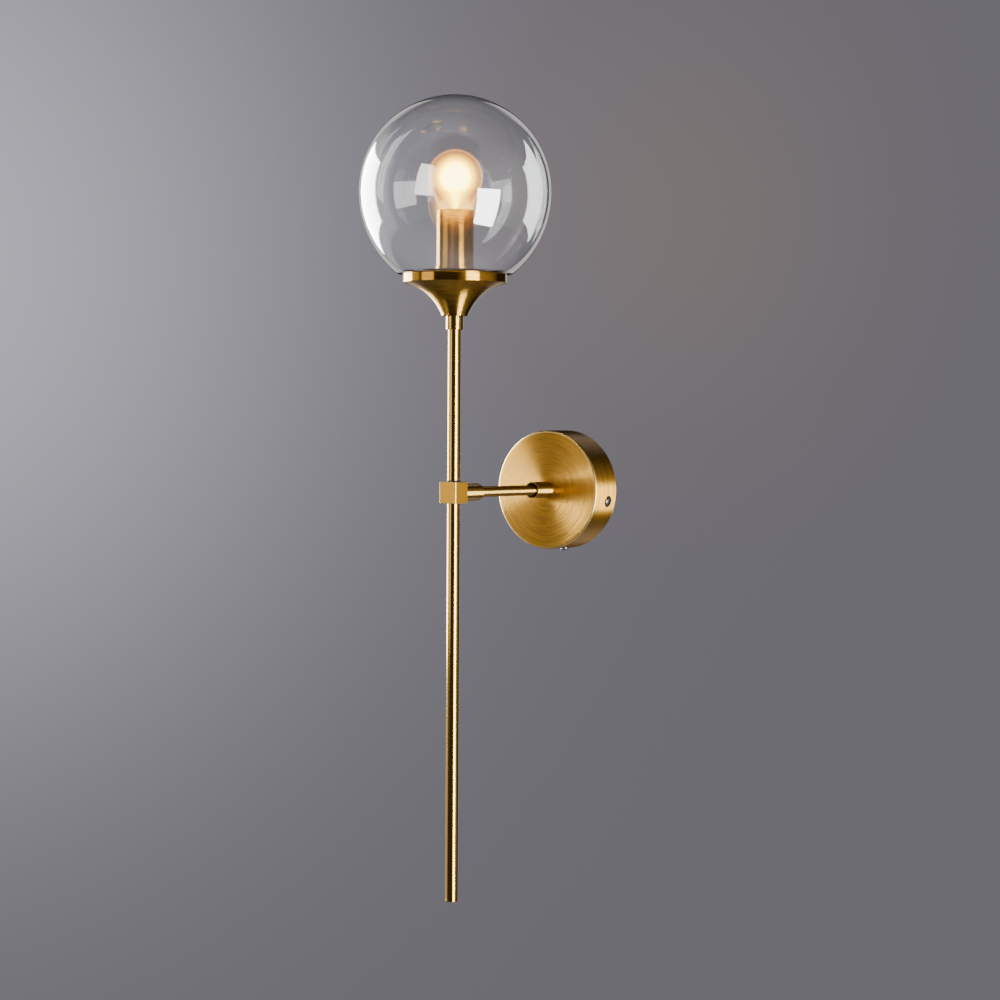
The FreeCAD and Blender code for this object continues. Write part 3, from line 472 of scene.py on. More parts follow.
def thin_glass(name, tint, rim):
    """The bulb's thin glass: clear, glossy where it is seen aslant, its rim glowing with painted light in the
    filament's colour.
    """
    shader = new_finish(name)
    facing = shader.signal(shader.node("ShaderNodeLayerWeight", blend=0.5).outputs["Facing"])
    clear = shader.node("ShaderNodeBsdfTransparent", color=tint).outputs[0]
    gloss = shader.skin(base_color=(0.95, 0.95, 0.95), metallic=1.0, roughness=0.02,
                        emission_color=rim, emission_strength=3.6)
    # painted light: the rim's emission stands in for the filament's light in the glass
    share = ((facing ** 7.0) * 0.55 + 0.03).clamped()
    return shader.finish(shader.mix(share, clear, gloss))


def lit_wire(name, colour, strength):
    """Glowing tungsten."""
    shader = new_finish(name)
    return shader.finish(shader.skin(
        base_color=(0.3, 0.28, 0.26), metallic=1.0, roughness=0.5,
        emission_color=colour, emission_strength=strength))


# ------------------------------------------------------------------ profiles and turning
def arc(centre, radius, start, end, count):
    """Points of an arc in a profile, from one angle in degrees to another."""
    points = []
    for step in range(count + 1):
        turn = radians(start + (end - start) * step / count)
        points.append((centre[0] + radius * cos(turn), centre[1] + radius * sin(turn), 0.0))
    return points


def sweep(start, end, radius, count, hollow=False):
    """Points of an arc of a given radius between two points of a profile. It bulges outwards, or
    towards the axis where it is hollow."""
    first, last = Vector(start), Vector(end)
    chord = last - first
    side = Vector((-chord.y, chord.x)).normalized()
    if hollow:
        side = -side
    centre = (first + last) / 2 + side * sqrt(radius ** 2 - chord.length_squared / 4)
    begin, finish = (degrees(atan2(point.y - centre.y, point.x - centre.x)) for point in (first, last))
    return arc(centre, radius, begin, finish, count)


def rounded(corners):
    """A closed profile from (radius, height, rounding) corners. A rounded corner gets its own
    arc and a point a little before and after it, so that the long faces beside it stay flat."""
    points = []
    count = len(corners)
    for index, (across, up, fillet) in enumerate(corners):
        corner = Vector((across, up))
        before = Vector(corners[index - 1][:2]) - corner
        after = Vector(corners[(index + 1) % count][:2]) - corner
        if fillet <= 0:
            points.append(corner)
            continue
        half_open = before.angle(after) / 2
        reach = min(fillet / tan(half_open), before.length * 0.4, after.length * 0.4)
        first = corner + before.normalized() * reach
        last = corner + after.normalized() * reach
        if before.length > reach * 3:
            points.append(corner + before.normalized() * reach * 1.8)
        for step in range(FILLET_STEPS + 1):
            share = step / FILLET_STEPS
            low = first.lerp(corner, share)
            high = corner.lerp(last, share)
            points.append(low.lerp(high, share))
        if after.length > reach * 3:
            points.append(corner + after.normalized() * reach * 1.8)
    return points


class Tree:
    """A Geometry Nodes tree that is built in the script."""

    def __init__(self, name, inputs):
        self.tree = bpy.data.node_groups.new(name, "GeometryNodeTree")
        self.tree.interface.new_socket("Geometry", in_out="INPUT", socket_type="NodeSocketGeometry")
        for title, kind, value in inputs:
            item = self.tree.interface.new_socket(title, in_out="INPUT", socket_type="NodeSocket" + kind)
            if value is not None:
                item.default_value = value
        self.tree.interface.new_socket("Geometry", in_out="OUTPUT", socket_type="NodeSocketGeometry")
        self.given = self.tree.nodes.new("NodeGroupInput").outputs
        self.result = self.tree.nodes.new("NodeGroupOutput").inputs

    def add(self, kind, links=None, settings=None):
        """Add a node, with links or values by socket name or number, and its settings."""
        made = self.tree.nodes.new(kind)
        for name, setting in (settings or {}).items():
            setattr(made, name, setting)
        for name, value in (links or {}).items():
            if isinstance(name, int):
                socket = made.inputs[name]
            else:
                socket = next(item for item in made.inputs if item.enabled and item.name == name)
            if isinstance(value, bpy.types.NodeSocket):
                self.tree.links.new(value, socket)
            else:
                socket.default_value = value
        return next(item for item in made.outputs if item.enabled)

    def sum(self, operation, first, second):
        return self.add("ShaderNodeMath", {0: first, 1: second}, {"operation": operation})

    def finish(self, geometry):
        """End the tree in Realize Instances and Set Material."""
        whole = self.add("GeometryNodeRealizeInstances", {0: geometry})
        coated = self.add("GeometryNodeSetMaterial", {
            "Geometry": whole, "Material": self.given["Finish"]})
        self.tree.links.new(coated, self.result[0])
        return self.tree


def turning_tree():
    """Sweeps a profile mesh round the Z axis, then turns it on to its line and moves it there."""
    tree = Tree("Turned piece", [
        ("Segments", "Int", 96), ("Place", "Vector", None), ("Turn", "Vector", None),
        ("Finish", "Material", None)])
    profile = tree.given["Geometry"]
    corners = tree.add("GeometryNodeAttributeDomainSize", {0: profile}, {"component": "MESH"})
    around = tree.sum("ADD", tree.given["Segments"], 1.0)
    along_profile = tree.sum("ADD", corners, 1.0)
    grid = tree.add("GeometryNodeMeshGrid", {"Vertices X": around, "Vertices Y": along_profile})
    index = tree.add("GeometryNodeInputIndex")
    column = tree.sum("FLOOR", tree.sum("DIVIDE", tree.sum("ADD", index, 0.5), along_profile), 0.0)
    row = tree.sum("SUBTRACT", index, tree.sum("MULTIPLY", column, along_profile))
    point = tree.sum("MODULO", row, corners)
    position = tree.add("GeometryNodeInputPosition")
    sampled = tree.add("GeometryNodeSampleIndex", {"Geometry": profile, "Value": position, "Index": point},
                       {"data_type": "FLOAT_VECTOR", "domain": "POINT"})
    split = tree.add("ShaderNodeSeparateXYZ", {0: sampled}).node.outputs
    share = tree.sum("DIVIDE", tree.sum("MODULO", column, tree.given["Segments"]), tree.given["Segments"])
    angle = tree.sum("MULTIPLY", share, 2 * pi)
    swept = tree.add("ShaderNodeCombineXYZ", {
        0: tree.sum("MULTIPLY", split[0], tree.sum("COSINE", angle, 0.0)),
        1: tree.sum("MULTIPLY", split[0], tree.sum("SINE", angle, 0.0)),
        2: split[2]})
    placed = tree.add("GeometryNodeSetPosition", {"Geometry": grid, "Position": swept})
    closed = tree.add("GeometryNodeMergeByDistance", {"Geometry": placed, "Distance": 0.002 * MM})
    smooth = tree.add("GeometryNodeSetShadeSmooth", {"Geometry": closed, "Shade Smooth": True})
    moved = tree.add("GeometryNodeTransform", {
        "Geometry": smooth, "Translation": tree.given["Place"], "Rotation": tree.given["Turn"]})
    return tree.finish(moved)


def screw_tree():
    """Sets a copy of one screw on each seat, with its head away from the canopy's axis."""
    tree = Tree("Side screws", [
        ("Screw", "Object", None), ("Depth", "Float", 0.0), ("Finish", "Material", None)])
    seats = tree.given["Geometry"]
    screw = tree.add("GeometryNodeObjectInfo", {"Object": tree.given["Screw"]}).node.outputs["Geometry"]
    position = tree.add("GeometryNodeInputPosition")
    axis = tree.add("ShaderNodeCombineXYZ", {1: tree.given["Depth"]})
    outward = tree.add("ShaderNodeVectorMath", {0: position, 1: axis}, {"operation": "SUBTRACT"})
    turn = tree.add("FunctionNodeAlignRotationToVector", {"Vector": outward}, {"axis": "Z"})
    points = tree.add("GeometryNodeMeshToPoints", {0: seats})
    return tree.finish(tree.add("GeometryNodeInstanceOnPoints", {
        "Points": points, "Instance": screw, "Rotation": turn}))


def mesh_object(name, points, edges=(), faces=()):
    """A new object with a mesh made from plain points."""
    mesh = bpy.data.meshes.new(name)
    mesh.from_pydata(points, edges, faces)
    piece = bpy.data.objects.new(name, mesh)
    bpy.context.scene.collection.objects.link(piece)
    return piece


def applied(piece):
    """Apply a piece's modifier and hand back its new mesh."""
    graph = bpy.context.evaluated_depsgraph_get()
    result = bpy.data.meshes.new_from_object(piece.evaluated_get(graph))
    piece.modifiers.clear()
    old = piece.data
    piece.data = result
    bpy.data.meshes.remove(old)
    result.name = piece.name
    return result


def baked(piece, tree, inputs):
    """Run a tree on a piece and keep the result as a plain closed mesh with outward faces."""
    modifier = piece.modifiers.new("Build", "NODES")
    modifier.node_group = tree
    for item in tree.interface.items_tree:
        if item.in_out == "INPUT" and item.name in inputs:
            modifier[item.identifier] = inputs[item.name]
    result = applied(piece)
    shell = bmesh.new()
    shell.from_mesh(result)
    bmesh.ops.recalc_face_normals(shell, faces=shell.faces)
    shell.to_mesh(result)
    shell.free()
    result.set_sharp_from_angle(angle=SHARP_EDGE)
    result.materials.clear()
    result.materials.append(inputs["Finish"])
    for polygon in result.polygons:
        polygon.material_index = 0
    return piece


TREES = {}


def tree_of(maker):
    """A maker's tree, built the first time that it is asked for."""
    if maker not in TREES:
        TREES[maker] = maker()
    return TREES[maker]


def turned(name, corners, finish, line, start, segments=96):
    """A turned piece from its profile. It stands on the rod's line from a height, or on the arm's
    line from a distance out of the wall."""
    points = rounded(corners)
    chain = [(index, (index + 1) % len(points)) for index in range(len(points))]
    piece = mesh_object(name, [(max(point[0], 0.0), 0.0, point[1]) for point in points], chain)
    if line == "arm":
        place, turn = (0.0, -start, 0.0), (pi / 2, 0.0, 0.0)
    else:
        place, turn = (0.0, ROD_LINE if line == "rod" else 0.0, start), (0.0, 0.0, 0.0)
    return baked(piece, tree_of(turning_tree), {
        "Segments": segments, "Place": place, "Turn": turn, "Finish": finish})


def stands_for(piece, body, *nodes):
    """Put a finished piece on its body in the place of the frame's nodes."""
    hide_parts(*nodes)
    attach(piece, body)


def coat(node, finish):
    """Give a node of the frame a finish."""
    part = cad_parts[node]
    if not part.material_slots:
        part.data.materials.append(finish)
    for slot in part.material_slots:
        slot.material = finish


def tube(inner, outer, length, fillet):
    """The profile of a tube with softened ends."""
    return [(inner, 0.0, 0.0), (outer, 0.0, fillet), (outer, length, fillet), (inner, length, 0.0)]


# ------------------------------------------------------------------------------ operators
def settings():
    """The sizes and the finishes that the user has set."""
    scene = bpy.context.scene
    return scene.sconce_sizes, scene.sconce_finishes


class SCONCE_OT_canopy(Operator):
    """Make the spun canopy and the screws in its side"""
    bl_idname = "sconce.canopy"
    bl_label = "Canopy"

    def execute(self, context):
        sizes, looks = settings()
        outer = width("canopy_cover") / 2
        low, _ = span("canopy_cover")
        depth = -low.y
        wall = sizes.canopy_wall
        hole = width("canopy_nipple") / 2 + 0.3 * MM
        seats = [(outer * cos(angle), -sizes.screw_depth, outer * sin(angle)) for angle in sizes.screw_angles]
        face = spun_brass("spun canopy brass", "arm", looks.satin, looks.aged, 0.28, (-0.46, 0.46), (), 0.75)
        # painted highlight: the canopy's rounded edge gets a much brighter brass than its face and side
        edge = plain_metal("bright canopy edge", CANOPY_EDGE_HIGHLIGHT, 0.28)
        side = spun_brass("brushed canopy side", "arm", looks.satin, looks.aged, 0.22, (-0.85, 0.30), seats)
        back = outer - wall
        corners = [(back, 0.0, 0.0), (outer, 0.0, sizes.edge_round), (outer, depth, sizes.canopy_edge)]
        corners += [(outer * share, depth, 0.0) for share in (0.92, 0.6, 0.3)]
        corners += [(hole, depth, 0.0), (hole, depth - wall, 0.0), (back, depth - wall, 0.6 * MM)]
        cover = turned("canopy_shell", corners, face, "arm", 0.0, sizes.segments)
        cover.data.materials.append(side)
        cover.data.materials.append(edge)
        for polygon in cover.data.polygons:
            slope = abs(polygon.normal.y)
            flat, upright = slope > 0.99, slope < 0.12
            polygon.material_index = 0 if flat else 1 if upright else 2
        stands_for(cover, "fitting", "canopy_cover")
        self.make_screws(sizes, seats)
        return {"FINISHED"}

    def make_screws(self, sizes, seats):
        """Slotted pan-head screws on their seats round the canopy."""
        steel = plain_metal("zinc screw", (0.36, 0.37, 0.40), 0.22)
        head = 3.5 * MM
        shank = 1.95 * MM
        length = 8.0 * MM
        crown = 1.8 * MM
        corners = [(0.0, -length, 0.0), (shank, -length, 0.4 * MM), (shank, 0.0, 0.0), (head, 0.0, 0.15 * MM),
                   (head, 0.7 * MM, 0.25 * MM), (2.3 * MM, 1.42 * MM, 0.0), (1.2 * MM, 1.72 * MM, 0.0),
                   (0.0, crown, 0.0)]
        screw = turned("screw_form", corners, steel, "own", 0.0, 48)
        cut_slot(screw, (0.0, 0.0, crown), (9.0 * MM, sizes.slot, crown))
        group = mesh_object("side_screws", seats)
        baked(group, tree_of(screw_tree), {"Screw": screw, "Depth": -sizes.screw_depth, "Finish": steel})
        bpy.data.objects.remove(screw)
        stands_for(group, "fitting", "canopy_screws")


def cut_slot(piece, centre, size):
    """Cut a box out of a piece."""
    x, y, z = (part / 2 for part in size)
    points = [(centre[0] + a * x, centre[1] + b * y, centre[2] + c * z)
              for a in (-1, 1) for b in (-1, 1) for c in (-1, 1)]
    faces = [(0, 1, 3, 2), (4, 6, 7, 5), (0, 4, 5, 1), (2, 3, 7, 6), (0, 2, 6, 4), (1, 5, 7, 3)]
    cutter = mesh_object("slot_cutter", points, (), faces)
    modifier = piece.modifiers.new("Slot", "BOOLEAN")
    modifier.operation = "DIFFERENCE"
    modifier.object = cutter
    applied(piece)
    bpy.data.objects.remove(cutter)


class SCONCE_OT_arm(Operator):
    """Make the arm and its two collars"""
    bl_idname = "sconce.arm"
    bl_label = "Arm and collars"

    def execute(self, context):
        sizes, looks = settings()
        finish = spun_brass("polished arm brass", "arm", looks.polished, looks.aged, 0.16, (-0.85, 0.30))
        arm = width("arm_tube") / 2
        for node, name, end_edge in (("canopy_collar", "arm_collar_at_canopy", 0.5 * MM),
                                     ("block_collar", "arm_collar_at_block", 0.4 * MM)):
            low, high = span(node)
            length = high.y - low.y
            radius = width(node) / 2
            corners = tube(arm, radius, length, end_edge)
            if node == "canopy_collar":
                bottom = length - sizes.collar_recess
                lip = radius - 0.8 * MM
                corners[2:] = [(radius, length, 0.2 * MM), (lip, length, 0.2 * MM),
                               (lip, bottom, 0.0), (arm, bottom, 0.0)]
            collar = turned(name, corners, finish, "arm", -high.y)
            if node == "canopy_collar":
                # painted shade: the faces deep in the collar's open end get a near-black finish where shade
                # falls
                collar.data.materials.append(plain_metal("oxide in the collar", COLLAR_RECESS_SHADE, 0.6))
                for polygon in collar.data.polygons:
                    reach = Vector((polygon.center.x, polygon.center.z)).length
                    polygon.material_index = int(reach < radius - 0.7 * MM)
            stands_for(collar, "fitting", node)
        low, high = span("arm_tube")
        corners = tube(arm - sizes.tube_wall, arm, high.y - low.y, 0.2 * MM)
        bar = turned("arm_bar", corners, finish, "arm", -high.y)
        stands_for(bar, "fitting", "arm_tube")
        return {"FINISHED"}


class SCONCE_OT_rods(Operator):
    """Make the two rods, the ferrule under the cup and the plug at the lower end"""
    bl_idname = "sconce.rods"
    bl_label = "Rods and block"

    def execute(self, context):
        sizes, looks = settings()
        finish = turned_brass("polished rod brass", looks.polished, looks.aged, 0.15, 0.0, 0.0, 0.0)
        outer = width("lower_rod") / 2
        for node, name in (("upper_rod", "upper_rod_tube"), ("lower_rod", "lower_rod_tube")):
            low, high = span(node)
            corners = tube(outer - sizes.tube_wall, outer, high.z - low.z, 0.15 * MM)
            rod = turned(name, corners, finish, "rod", low.z)
            stands_for(rod, "fitting", node)
        low, high = span("neck_ferrule")
        radius = width("neck_ferrule") / 2
        ferrule = turned("ferrule", tube(outer, radius, high.z - low.z, 0.45 * MM), finish, "rod", low.z)
        stands_for(ferrule, "fitting", "neck_ferrule")
        low, high = span("rod_end_plug")
        stem = outer - sizes.tube_wall
        cap_height = span("lower_rod")[0].z - low.z
        plug = turned("rod_tip", [
            (0.0, 0.0, 0.0), (outer, 0.0, 0.5 * MM), (outer, cap_height, 0.1 * MM), (stem, cap_height, 0.0),
            (stem, high.z - low.z, 0.3 * MM), (0.0, high.z - low.z, 0.0)], finish, "rod", low.z)
        stands_for(plug, "fitting", "rod_end_plug")
        coat("connector_block", self.block_finish(looks))
        # a black washer that makes the thin dark line between the upper rod and the block
        coat("rod_washer", moulded("black fibre", (0.012, 0.012, 0.012), 0.6))
        return {"FINISHED"}

    def block_finish(self, looks):
        """Brass block, rubbed with a fine belt along its width, with a painted highlight that makes its edges
        brighter.
        """
        shader = new_finish("belt-rubbed block brass")
        (x, y, z), coordinates = shader.place()
        lines = shader.noise(shader.vector(x * 120.0, y * 120.0, z * 2600.0), detail=3.0)
        cloud = shader.noise(coordinates, scale=140.0, detail=4.0, roughness=0.65)
        low, high = span("connector_block")
        half = (high.x - low.x) / 2
        rise = (high.z - low.z) / 2
        reaches = x.size() / half, (y - ROD_LINE).size() / half, z.size() / rise
        # painted highlight: the block's edges get a brighter, glossier brass
        edge_highlight = sum(reach.above(0.93) for reach in reaches).above(1.5)
        aged = (lines * 0.6 + cloud * 0.9 - 0.45).clamped() * 0.45
        colour = shader.blend(aged, BLOCK_BRASS, looks.aged)
        return shader.finish(shader.skin(
            base_color=shader.blend(edge_highlight, colour, BLOCK_EDGE_HIGHLIGHT), metallic=1.0,
            roughness=0.50 + (lines - 0.5) * 0.16 - edge_highlight * 0.1, normal=shader.bump(lines, 1.0, 0.012 * MM)))


class SCONCE_OT_cup(Operator):
    """Make the flared cup, the ring in it and the tube round the lampholder"""
    bl_idname = "sconce.cup"
    bl_label = "Cup and socket tube"

    def execute(self, context):
        sizes, looks = settings()
        finish = turned_brass("turned cup brass", looks.satin, looks.aged, 0.17, 0.12, 0.5)
        low, high = span("cup")
        rim = width("cup") / 2
        height = high.z - low.z
        band = height - sizes.cup_band
        wall = sizes.cup_wall
        foot = sizes.cup_foot
        foot_rise = 1.0 * MM
        outside, inside = (
            sweep((foot - inset, foot_rise + inset), (rim - inset, band + inset), sizes.cup_flare, 26, True)
            for inset in (0.0, wall))
        corners = [(STUD_BORE, 0.0, 0.0), (foot, 0.0, 0.25 * MM)] + outside + [
            (rim, band + 0.35 * MM, 0.0), (rim, band + 0.9 * MM, 0.0),
            (rim, height, 0.3 * MM), (rim - wall, height, 0.3 * MM)] + inside[::-1] + [
            (STUD_BORE, foot_rise + wall, 0.0)]
        cup = turned("flared_cup", corners, finish, "rod", low.z, sizes.segments)
        # painted shade: the downward-facing flare gets a darker, more aged brass than the band above it
        cup.data.materials.append(spun_brass(
            "turned flare brass", "rod", FLARE_SHADED_BRASS, looks.aged, 0.18, (0.0, 0.65), (), 0.8))
        for polygon in cup.data.polygons:
            polygon.material_index = int(polygon.normal.z < -0.2)
        stands_for(cup, "fitting", "cup")
        tube_finish = turned_brass("turned tube brass", TUBE_BRASS, looks.aged, 0.15, 0.06, 0.5, 0.6)
        low, high = span("socket_sleeve")
        radius = width("socket_sleeve") / 2
        sleeve = turned("socket_tube", tube(radius - sizes.tube_wall, radius, high.z - low.z, 0.3 * MM),
                        tube_finish, "rod", low.z, 128)
        stands_for(sleeve, "fitting", "socket_sleeve")
        low, high = span("socket_base_ring")
        ring = width("socket_base_ring") / 2
        top = high.z - low.z
        floor = 2.0 * MM
        step = turned("socket_ring", [
            (STUD_BORE, 0.0, 0.0), (ring, 0.0, 0.2 * MM), (ring, top, 0.3 * MM), (radius, top, 0.1 * MM),
            (radius, floor, 0.0), (STUD_BORE, floor, 0.0)], tube_finish, "rod", low.z, 128)
        stands_for(step, "fitting", "socket_base_ring")
        return {"FINISHED"}


class SCONCE_OT_globe(Operator):
    """Make the blown glass globe and the ring that centres it"""
    bl_idname = "sconce.globe"
    bl_label = "Globe"

    def execute(self, context):
        sizes, looks = settings()
        low, high = span("glass_globe")
        radius = width("glass_globe") / 2
        wall = sizes.glass_wall
        depth = sizes.neck_depth
        centre = high.z - low.z - radius
        lower = sizes.globe_lower
        shift = lower - radius
        rise = centre - depth
        corner_up = 1.2 * MM
        corner_in = 3.2 * MM
        corner = sqrt(lower ** 2 - (rise - corner_up) ** 2) - shift
        neck_in = sizes.globe_neck - 3.0 * MM
        floor = 3.0 * MM
        bore = lower - wall
        low_out = -degrees(atan2(rise - corner_up, corner + shift))
        floor_reach = sqrt(bore ** 2 - (rise - floor) ** 2)
        low_in = -degrees(atan2(rise - floor, floor_reach))
        corners = [(neck_in, 0.0, 0.8 * MM), (sizes.globe_neck, 0.0, 0.8 * MM),
                   (sizes.globe_neck, depth, 0.4 * MM), (corner - corner_in, depth, 0.0)]
        corners += sweep((corner - corner_in, depth), (corner, depth + corner_up), 5.2 * MM, 8)[1:]
        corners += arc((-shift, centre), lower, low_out, 0.0, 44)[1:]
        corners += arc((0.0, centre), radius, 0.0, 90.0, 56)[1:]
        corners += arc((0.0, centre), radius - wall, 90.0, 0.0, 56)
        corners += arc((-shift, centre), bore, 0.0, low_in, 44)[1:]
        corners += [(neck_in, depth + floor, 1.0 * MM)]
        finish = blown_glass("clear blown glass", looks.glass, 0.012 * MM)
        globe = turned("blown_globe", corners, finish, "rod", low.z, 192)
        stands_for(globe, "globe", "glass_globe")
        coat("glass_gasket", moulded("milky silicone", (0.62, 0.63, 0.60), 0.35))
        return {"FINISHED"}


class SCONCE_OT_bulb(Operator):
    """Make the lit bulb: its glass, its stem, its filament and the glow round the filament"""
    bl_idname = "sconce.bulb"
    bl_label = "Lit bulb"

    def execute(self, context):
        sizes, looks = settings()
        low, high = span("bulb_glass")
        radius = width("bulb_glass") / 2
        wall = sizes.bulb_wall
        top = high.z - low.z
        centre = top - radius
        drop = 8.5 * MM
        throat = 7.9 * MM
        neck = 12.4 * MM
        throat_end = 3.9 * MM
        neck_height = 8.4 * MM
        shoulder = sqrt(radius ** 2 - drop ** 2)
        start = -degrees(atan2(drop, shoulder))
        inner = radius - wall
        inner_start = -degrees(atan2(drop, sqrt(inner ** 2 - drop ** 2)))
        corners = [(throat - wall, 0.0, 0.0), (throat, 0.0, 0.0), (throat, throat_end, 0.8 * MM),
                   (neck, neck_height, 1.5 * MM)]
        corners += arc((0.0, centre), radius, start, 90.0, 48)
        corners += arc((0.0, centre), inner, 90.0, inner_start, 48)
        corners += [(neck - wall, neck_height, 1.5 * MM), (throat - wall, throat_end, 0.8 * MM)]
        clear = thin_glass("thin bulb glass", (1.0, 0.95, 0.89), looks.haze)
        glass = turned("bulb_envelope", corners, clear, "rod", low.z)
        stands_for(glass, "bulb", "bulb_glass")
        self.make_glow(looks, low.z + centre, inner, low.z + neck_height)
        coat("filament", lit_wire("glowing tungsten", (1.0, 0.72, 0.38), 60.0))
        coat("bulb_stem", blown_glass("stem glass", (1.0, 0.95, 0.88), 0.01 * MM))
        coat("filament_supports", plain_metal("support wire", (0.65, 0.62, 0.58), 0.3))
        return {"FINISHED"}

    def make_glow(self, looks, heart, reach, neck):
        """The glow round the filament, shaped like a drop that hangs up from the bulb's neck."""
        foot = neck - heart
        drop = [(0.0, foot, 0.0), (4.5 * MM, foot, 0.8 * MM)]
        drop += arc((0.0, 0.0), reach - 0.4 * MM, -40.0, 90.0, 44)
        lit = glow("filament glow", looks.core_strength)
        haze = turned("filament_glow", drop, lit, "rod", heart, 64)
        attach(haze, "bulb")


class SCONCE_OT_fittings(Operator):
    """Give the fittings inside the lampholder and behind the canopy their finishes"""
    bl_idname = "sconce.fittings"
    bl_label = "Inner fittings"

    def execute(self, context):
        for finish, nodes in (
                (plain_metal("zinc-plated steel", (0.60, 0.62, 0.66), 0.34),
                 ("wall_plate", "earth_screw", "terminal_screws", "canopy_washer")),
                (plain_metal("nickel-plated sheet", (0.70, 0.69, 0.66), 0.26), ("bulb_cap",)),
                (plain_metal("bare turned brass", (0.74, 0.55, 0.24), 0.30),
                 ("canopy_nipple", "canopy_nut", "block_nipple", "upper_rod_nipple", "lower_rod_stud",
                  "cup_nipple", "spacer_tube", "socket_nut", "lampholder_shell", "lampholder_tongue")),
                (plain_metal("tinned contact", (0.62, 0.62, 0.62), 0.42), ("bulb_contact", "earth_tag")),
                (moulded("white plastic", (0.80, 0.80, 0.77), 0.42), ("terminal_block",)),
                (moulded("black moulding", (0.03, 0.03, 0.032), 0.45), ("lampholder_body",)),
                (moulded("black glass insulator", (0.015, 0.015, 0.02), 0.12), ("cap_insulator",)),
                (moulded("brown insulation", (0.11, 0.035, 0.012), 0.35), ("live_lead",)),
                (moulded("blue insulation", (0.02, 0.08, 0.35), 0.35), ("neutral_lead",)),
                (moulded("green and yellow insulation", (0.06, 0.30, 0.03), 0.35, (0.75, 0.60, 0.02)),
                 ("earth_lead",))):
            for node in nodes:
                coat(node, finish)
        return {"FINISHED"}


CAMERA_PLACE = (1.1156, -1.6684, 0.0509)
CAMERA_TURN = (-1.724, -0.34, 35.371)  # pitch, roll and heading in degrees
CAMERA_LENS = 86.49
FLOOR_DROP = 3.0  # metres from the rod's lower end to the floor
FLOOR_RADIUS = 6.0
FLOOR_SIDES = 96


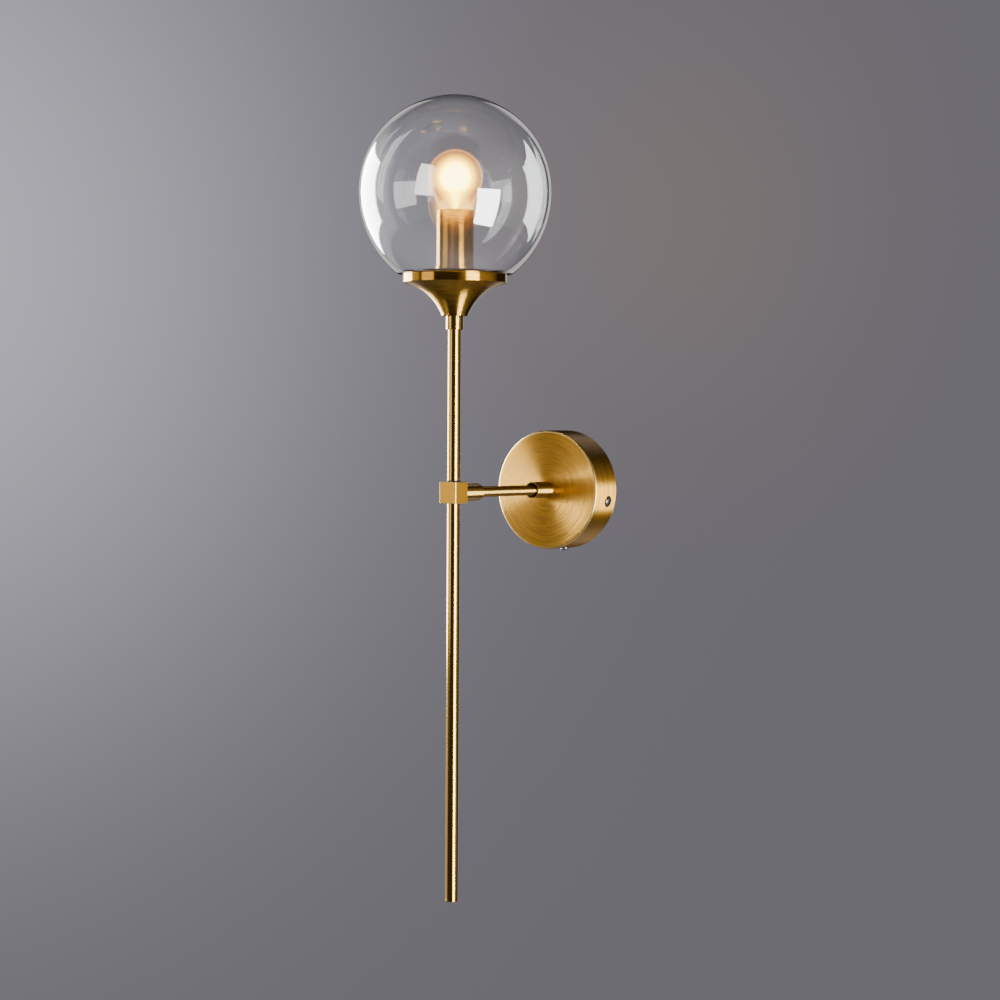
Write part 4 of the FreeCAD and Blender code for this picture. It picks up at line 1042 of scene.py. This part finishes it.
class SCONCE_OT_stage(Operator):
    """Make the floor, the soft lights, the surroundings and the camera"""
    bl_idname = "sconce.stage"
    bl_label = "Stage"

    def execute(self, context):
        _, looks = settings()
        self.make_floor(span("rod_end_plug")[0].z - FLOOR_DROP)
        # each light spans headings round the rod, from the camera's side to the right, and heights
        self.make_light("Left window", (-149.0, -108.0), 1.5, (-0.27, 0.87), 21.0, (0.97, 0.98, 1.0))
        self.make_light("Right window", (27.0, 55.0), 1.7, (-1.05, 0.23), 24.0, (1.0, 0.99, 0.97))
        self.make_light("Pale wall at the left", (-76.0, -46.0), 1.7, (-0.25, 0.46), 2.1, (1.0, 0.93, 0.93))
        self.make_world(looks)
        self.make_camera()
        return {"FINISHED"}

    def make_floor(self, height):
        turns = [2 * pi * step / FLOOR_SIDES for step in range(FLOOR_SIDES)]
        rim = [(FLOOR_RADIUS * cos(turn), FLOOR_RADIUS * sin(turn), height) for turn in turns]
        floor = mesh_object("studio_floor", rim, (), [tuple(range(FLOOR_SIDES))])
        shader = new_finish("pale floor")
        _, coordinates = shader.place()
        cloud = shader.noise(coordinates, scale=3.0, detail=5.0)
        tone = shader.blend(cloud, (0.74, 0.71, 0.80), (0.70, 0.67, 0.76))
        floor.data.materials.append(shader.finish(shader.skin(base_color=tone, roughness=0.75)))

    def make_light(self, name, headings, distance, heights, radiance, colour):
        """A soft upright panel of light that faces the rod."""
        turn = radians(CAMERA_TURN[2] + sum(headings) / 2)
        across = 2 * distance * tan(radians(headings[1] - headings[0]) / 2)
        data = bpy.data.lights.new(name, "AREA")
        data.shape = "RECTANGLE"
        data.size, data.size_y = across, heights[1] - heights[0]
        data.energy = radiance * pi * data.size * data.size_y
        data.color = colour
        lamp = bpy.data.objects.new(name, data)
        lamp.location = (sin(turn) * distance, ROD_LINE - cos(turn) * distance, sum(heights) / 2)
        lamp.rotation_euler = Vector((-sin(turn), cos(turn), 0.0)).to_track_quat("-Z", "Y").to_euler()
        lamp.visible_camera = False
        bpy.context.scene.collection.objects.link(lamp)

    def make_world(self, looks):
        """Grey surroundings with painted light: a pale pool of light at the upper left, the bulb's warm
        glow beside the bulb, and more brightness where they are seen through glass. Only reflections see
        the dim room: a pale wall at one side, dusk at the other, and what stands close on both sides
        behind the fitting."""
        world = bpy.data.worlds.new("Studio")
        bpy.context.scene.world = world
        shader = Shader(world)
        direction = shader.node("ShaderNodeTexCoord").outputs["Generated"]
        parts = shader.node("ShaderNodeSeparateXYZ", vector=direction).outputs
        x, y, z = [shader.signal(part) for part in parts]
        turn = radians(CAMERA_TURN[2])
        flat = (x * x + y * y + 0.0001).root()
        right = x * cos(turn) + y * sin(turn)
        ahead = y * cos(turn) - x * sin(turn)

        wall_side = turn + radians(-118.0)
        beside = (x * sin(wall_side) - y * cos(wall_side)) / flat
        pale = beside.rise(cos(radians(38.0)), 0.09) * z.size().fall(0.62, 0.2)
        dusk_side = turn + radians(58.0)
        dusk = (x * sin(dusk_side) - y * cos(dusk_side)).rise(0.62, 0.38)
        away = ahead / flat
        rims = away.rise(cos(radians(28.0)), 0.02) * away.fall(cos(radians(9.0)), 0.004)
        rims = rims * z.size().fall(0.64, 0.16)
        behind = (y * 3.0 + 0.5).clamped()
        room = shader.node("ShaderNodeBackground", color=(1.0, 0.95, 0.90),
                           strength=pale * 0.8 + dusk * 0.5 + rims * 0.8 + 0.05 - behind * 0.02)

        path = shader.node("ShaderNodeLightPath").outputs
        through = shader.signal(path["Is Transmission Ray"])
        direct = shader.signal(path["Is Camera Ray"]) + through
        # painted light: a pale pool of light on the backdrop at the upper left
        painted_light_pool = bell(right + 0.26, z - 0.07, 34.0, 30.0)
        # painted light: the bulb's warm glow on the backdrop beside it
        lit = bell(right - 0.08, z - 0.09, 190.0, 130.0)
        tone = shader.blend(lit * 0.7, looks.wall, (1.15, 0.97, 0.92))
        # painted light: the backdrop is made 55% brighter where it is seen through glass
        seen = shader.node("ShaderNodeBackground", color=tone,
                           strength=(painted_light_pool * 0.42 + 0.155) * (1.0 + through * 0.55) * (1.0 + lit * 0.12))
        mixed = shader.mix(direct.clamped(), room.outputs[0], seen.outputs[0])
        shader.node("ShaderNodeOutputWorld", surface=mixed)

    def make_camera(self):
        data = bpy.data.cameras.new("Camera")
        data.lens = CAMERA_LENS
        pitch, roll, heading = CAMERA_TURN
        camera = bpy.data.objects.new("Camera", data)
        camera.location = CAMERA_PLACE
        camera.rotation_euler = (radians(90.0 + pitch), radians(roll), radians(heading))
        bpy.context.scene.collection.objects.link(camera)
        bpy.context.scene.camera = camera


PIECES = (SCONCE_OT_canopy, SCONCE_OT_arm, SCONCE_OT_rods, SCONCE_OT_cup, SCONCE_OT_globe,
          SCONCE_OT_bulb, SCONCE_OT_fittings, SCONCE_OT_stage)


class SCONCE_PT_panel(Panel):
    """Panel that lists the sconce's pieces"""
    bl_idname = "SCONCE_PT_panel"
    bl_label = "Globe wall sconce"
    bl_space_type = "VIEW_3D"
    bl_region_type = "UI"
    bl_category = "Sconce"

    def draw(self, context):
        for group in (context.scene.sconce_sizes, context.scene.sconce_finishes):
            column = self.layout.column(align=True)
            for name in group.__annotations__:
                column.prop(group, name)
        for piece in PIECES:
            self.layout.operator(piece.bl_idname)


CLASSES = (SconceSizes, SconceFinishes, *PIECES, SCONCE_PT_panel)


def register():
    for item in CLASSES:
        bpy.utils.register_class(item)
    bpy.types.Scene.sconce_sizes = PointerProperty(type=SconceSizes)
    bpy.types.Scene.sconce_finishes = PointerProperty(type=SconceFinishes)


def unregister():
    del bpy.types.Scene.sconce_finishes
    del bpy.types.Scene.sconce_sizes
    for item in reversed(CLASSES):
        bpy.utils.unregister_class(item)


def main():
    register()
    for piece in PIECES:
        group, name = piece.bl_idname.split(".")
        getattr(getattr(bpy.ops, group), name)()


if __name__ == "__main__":
    main()
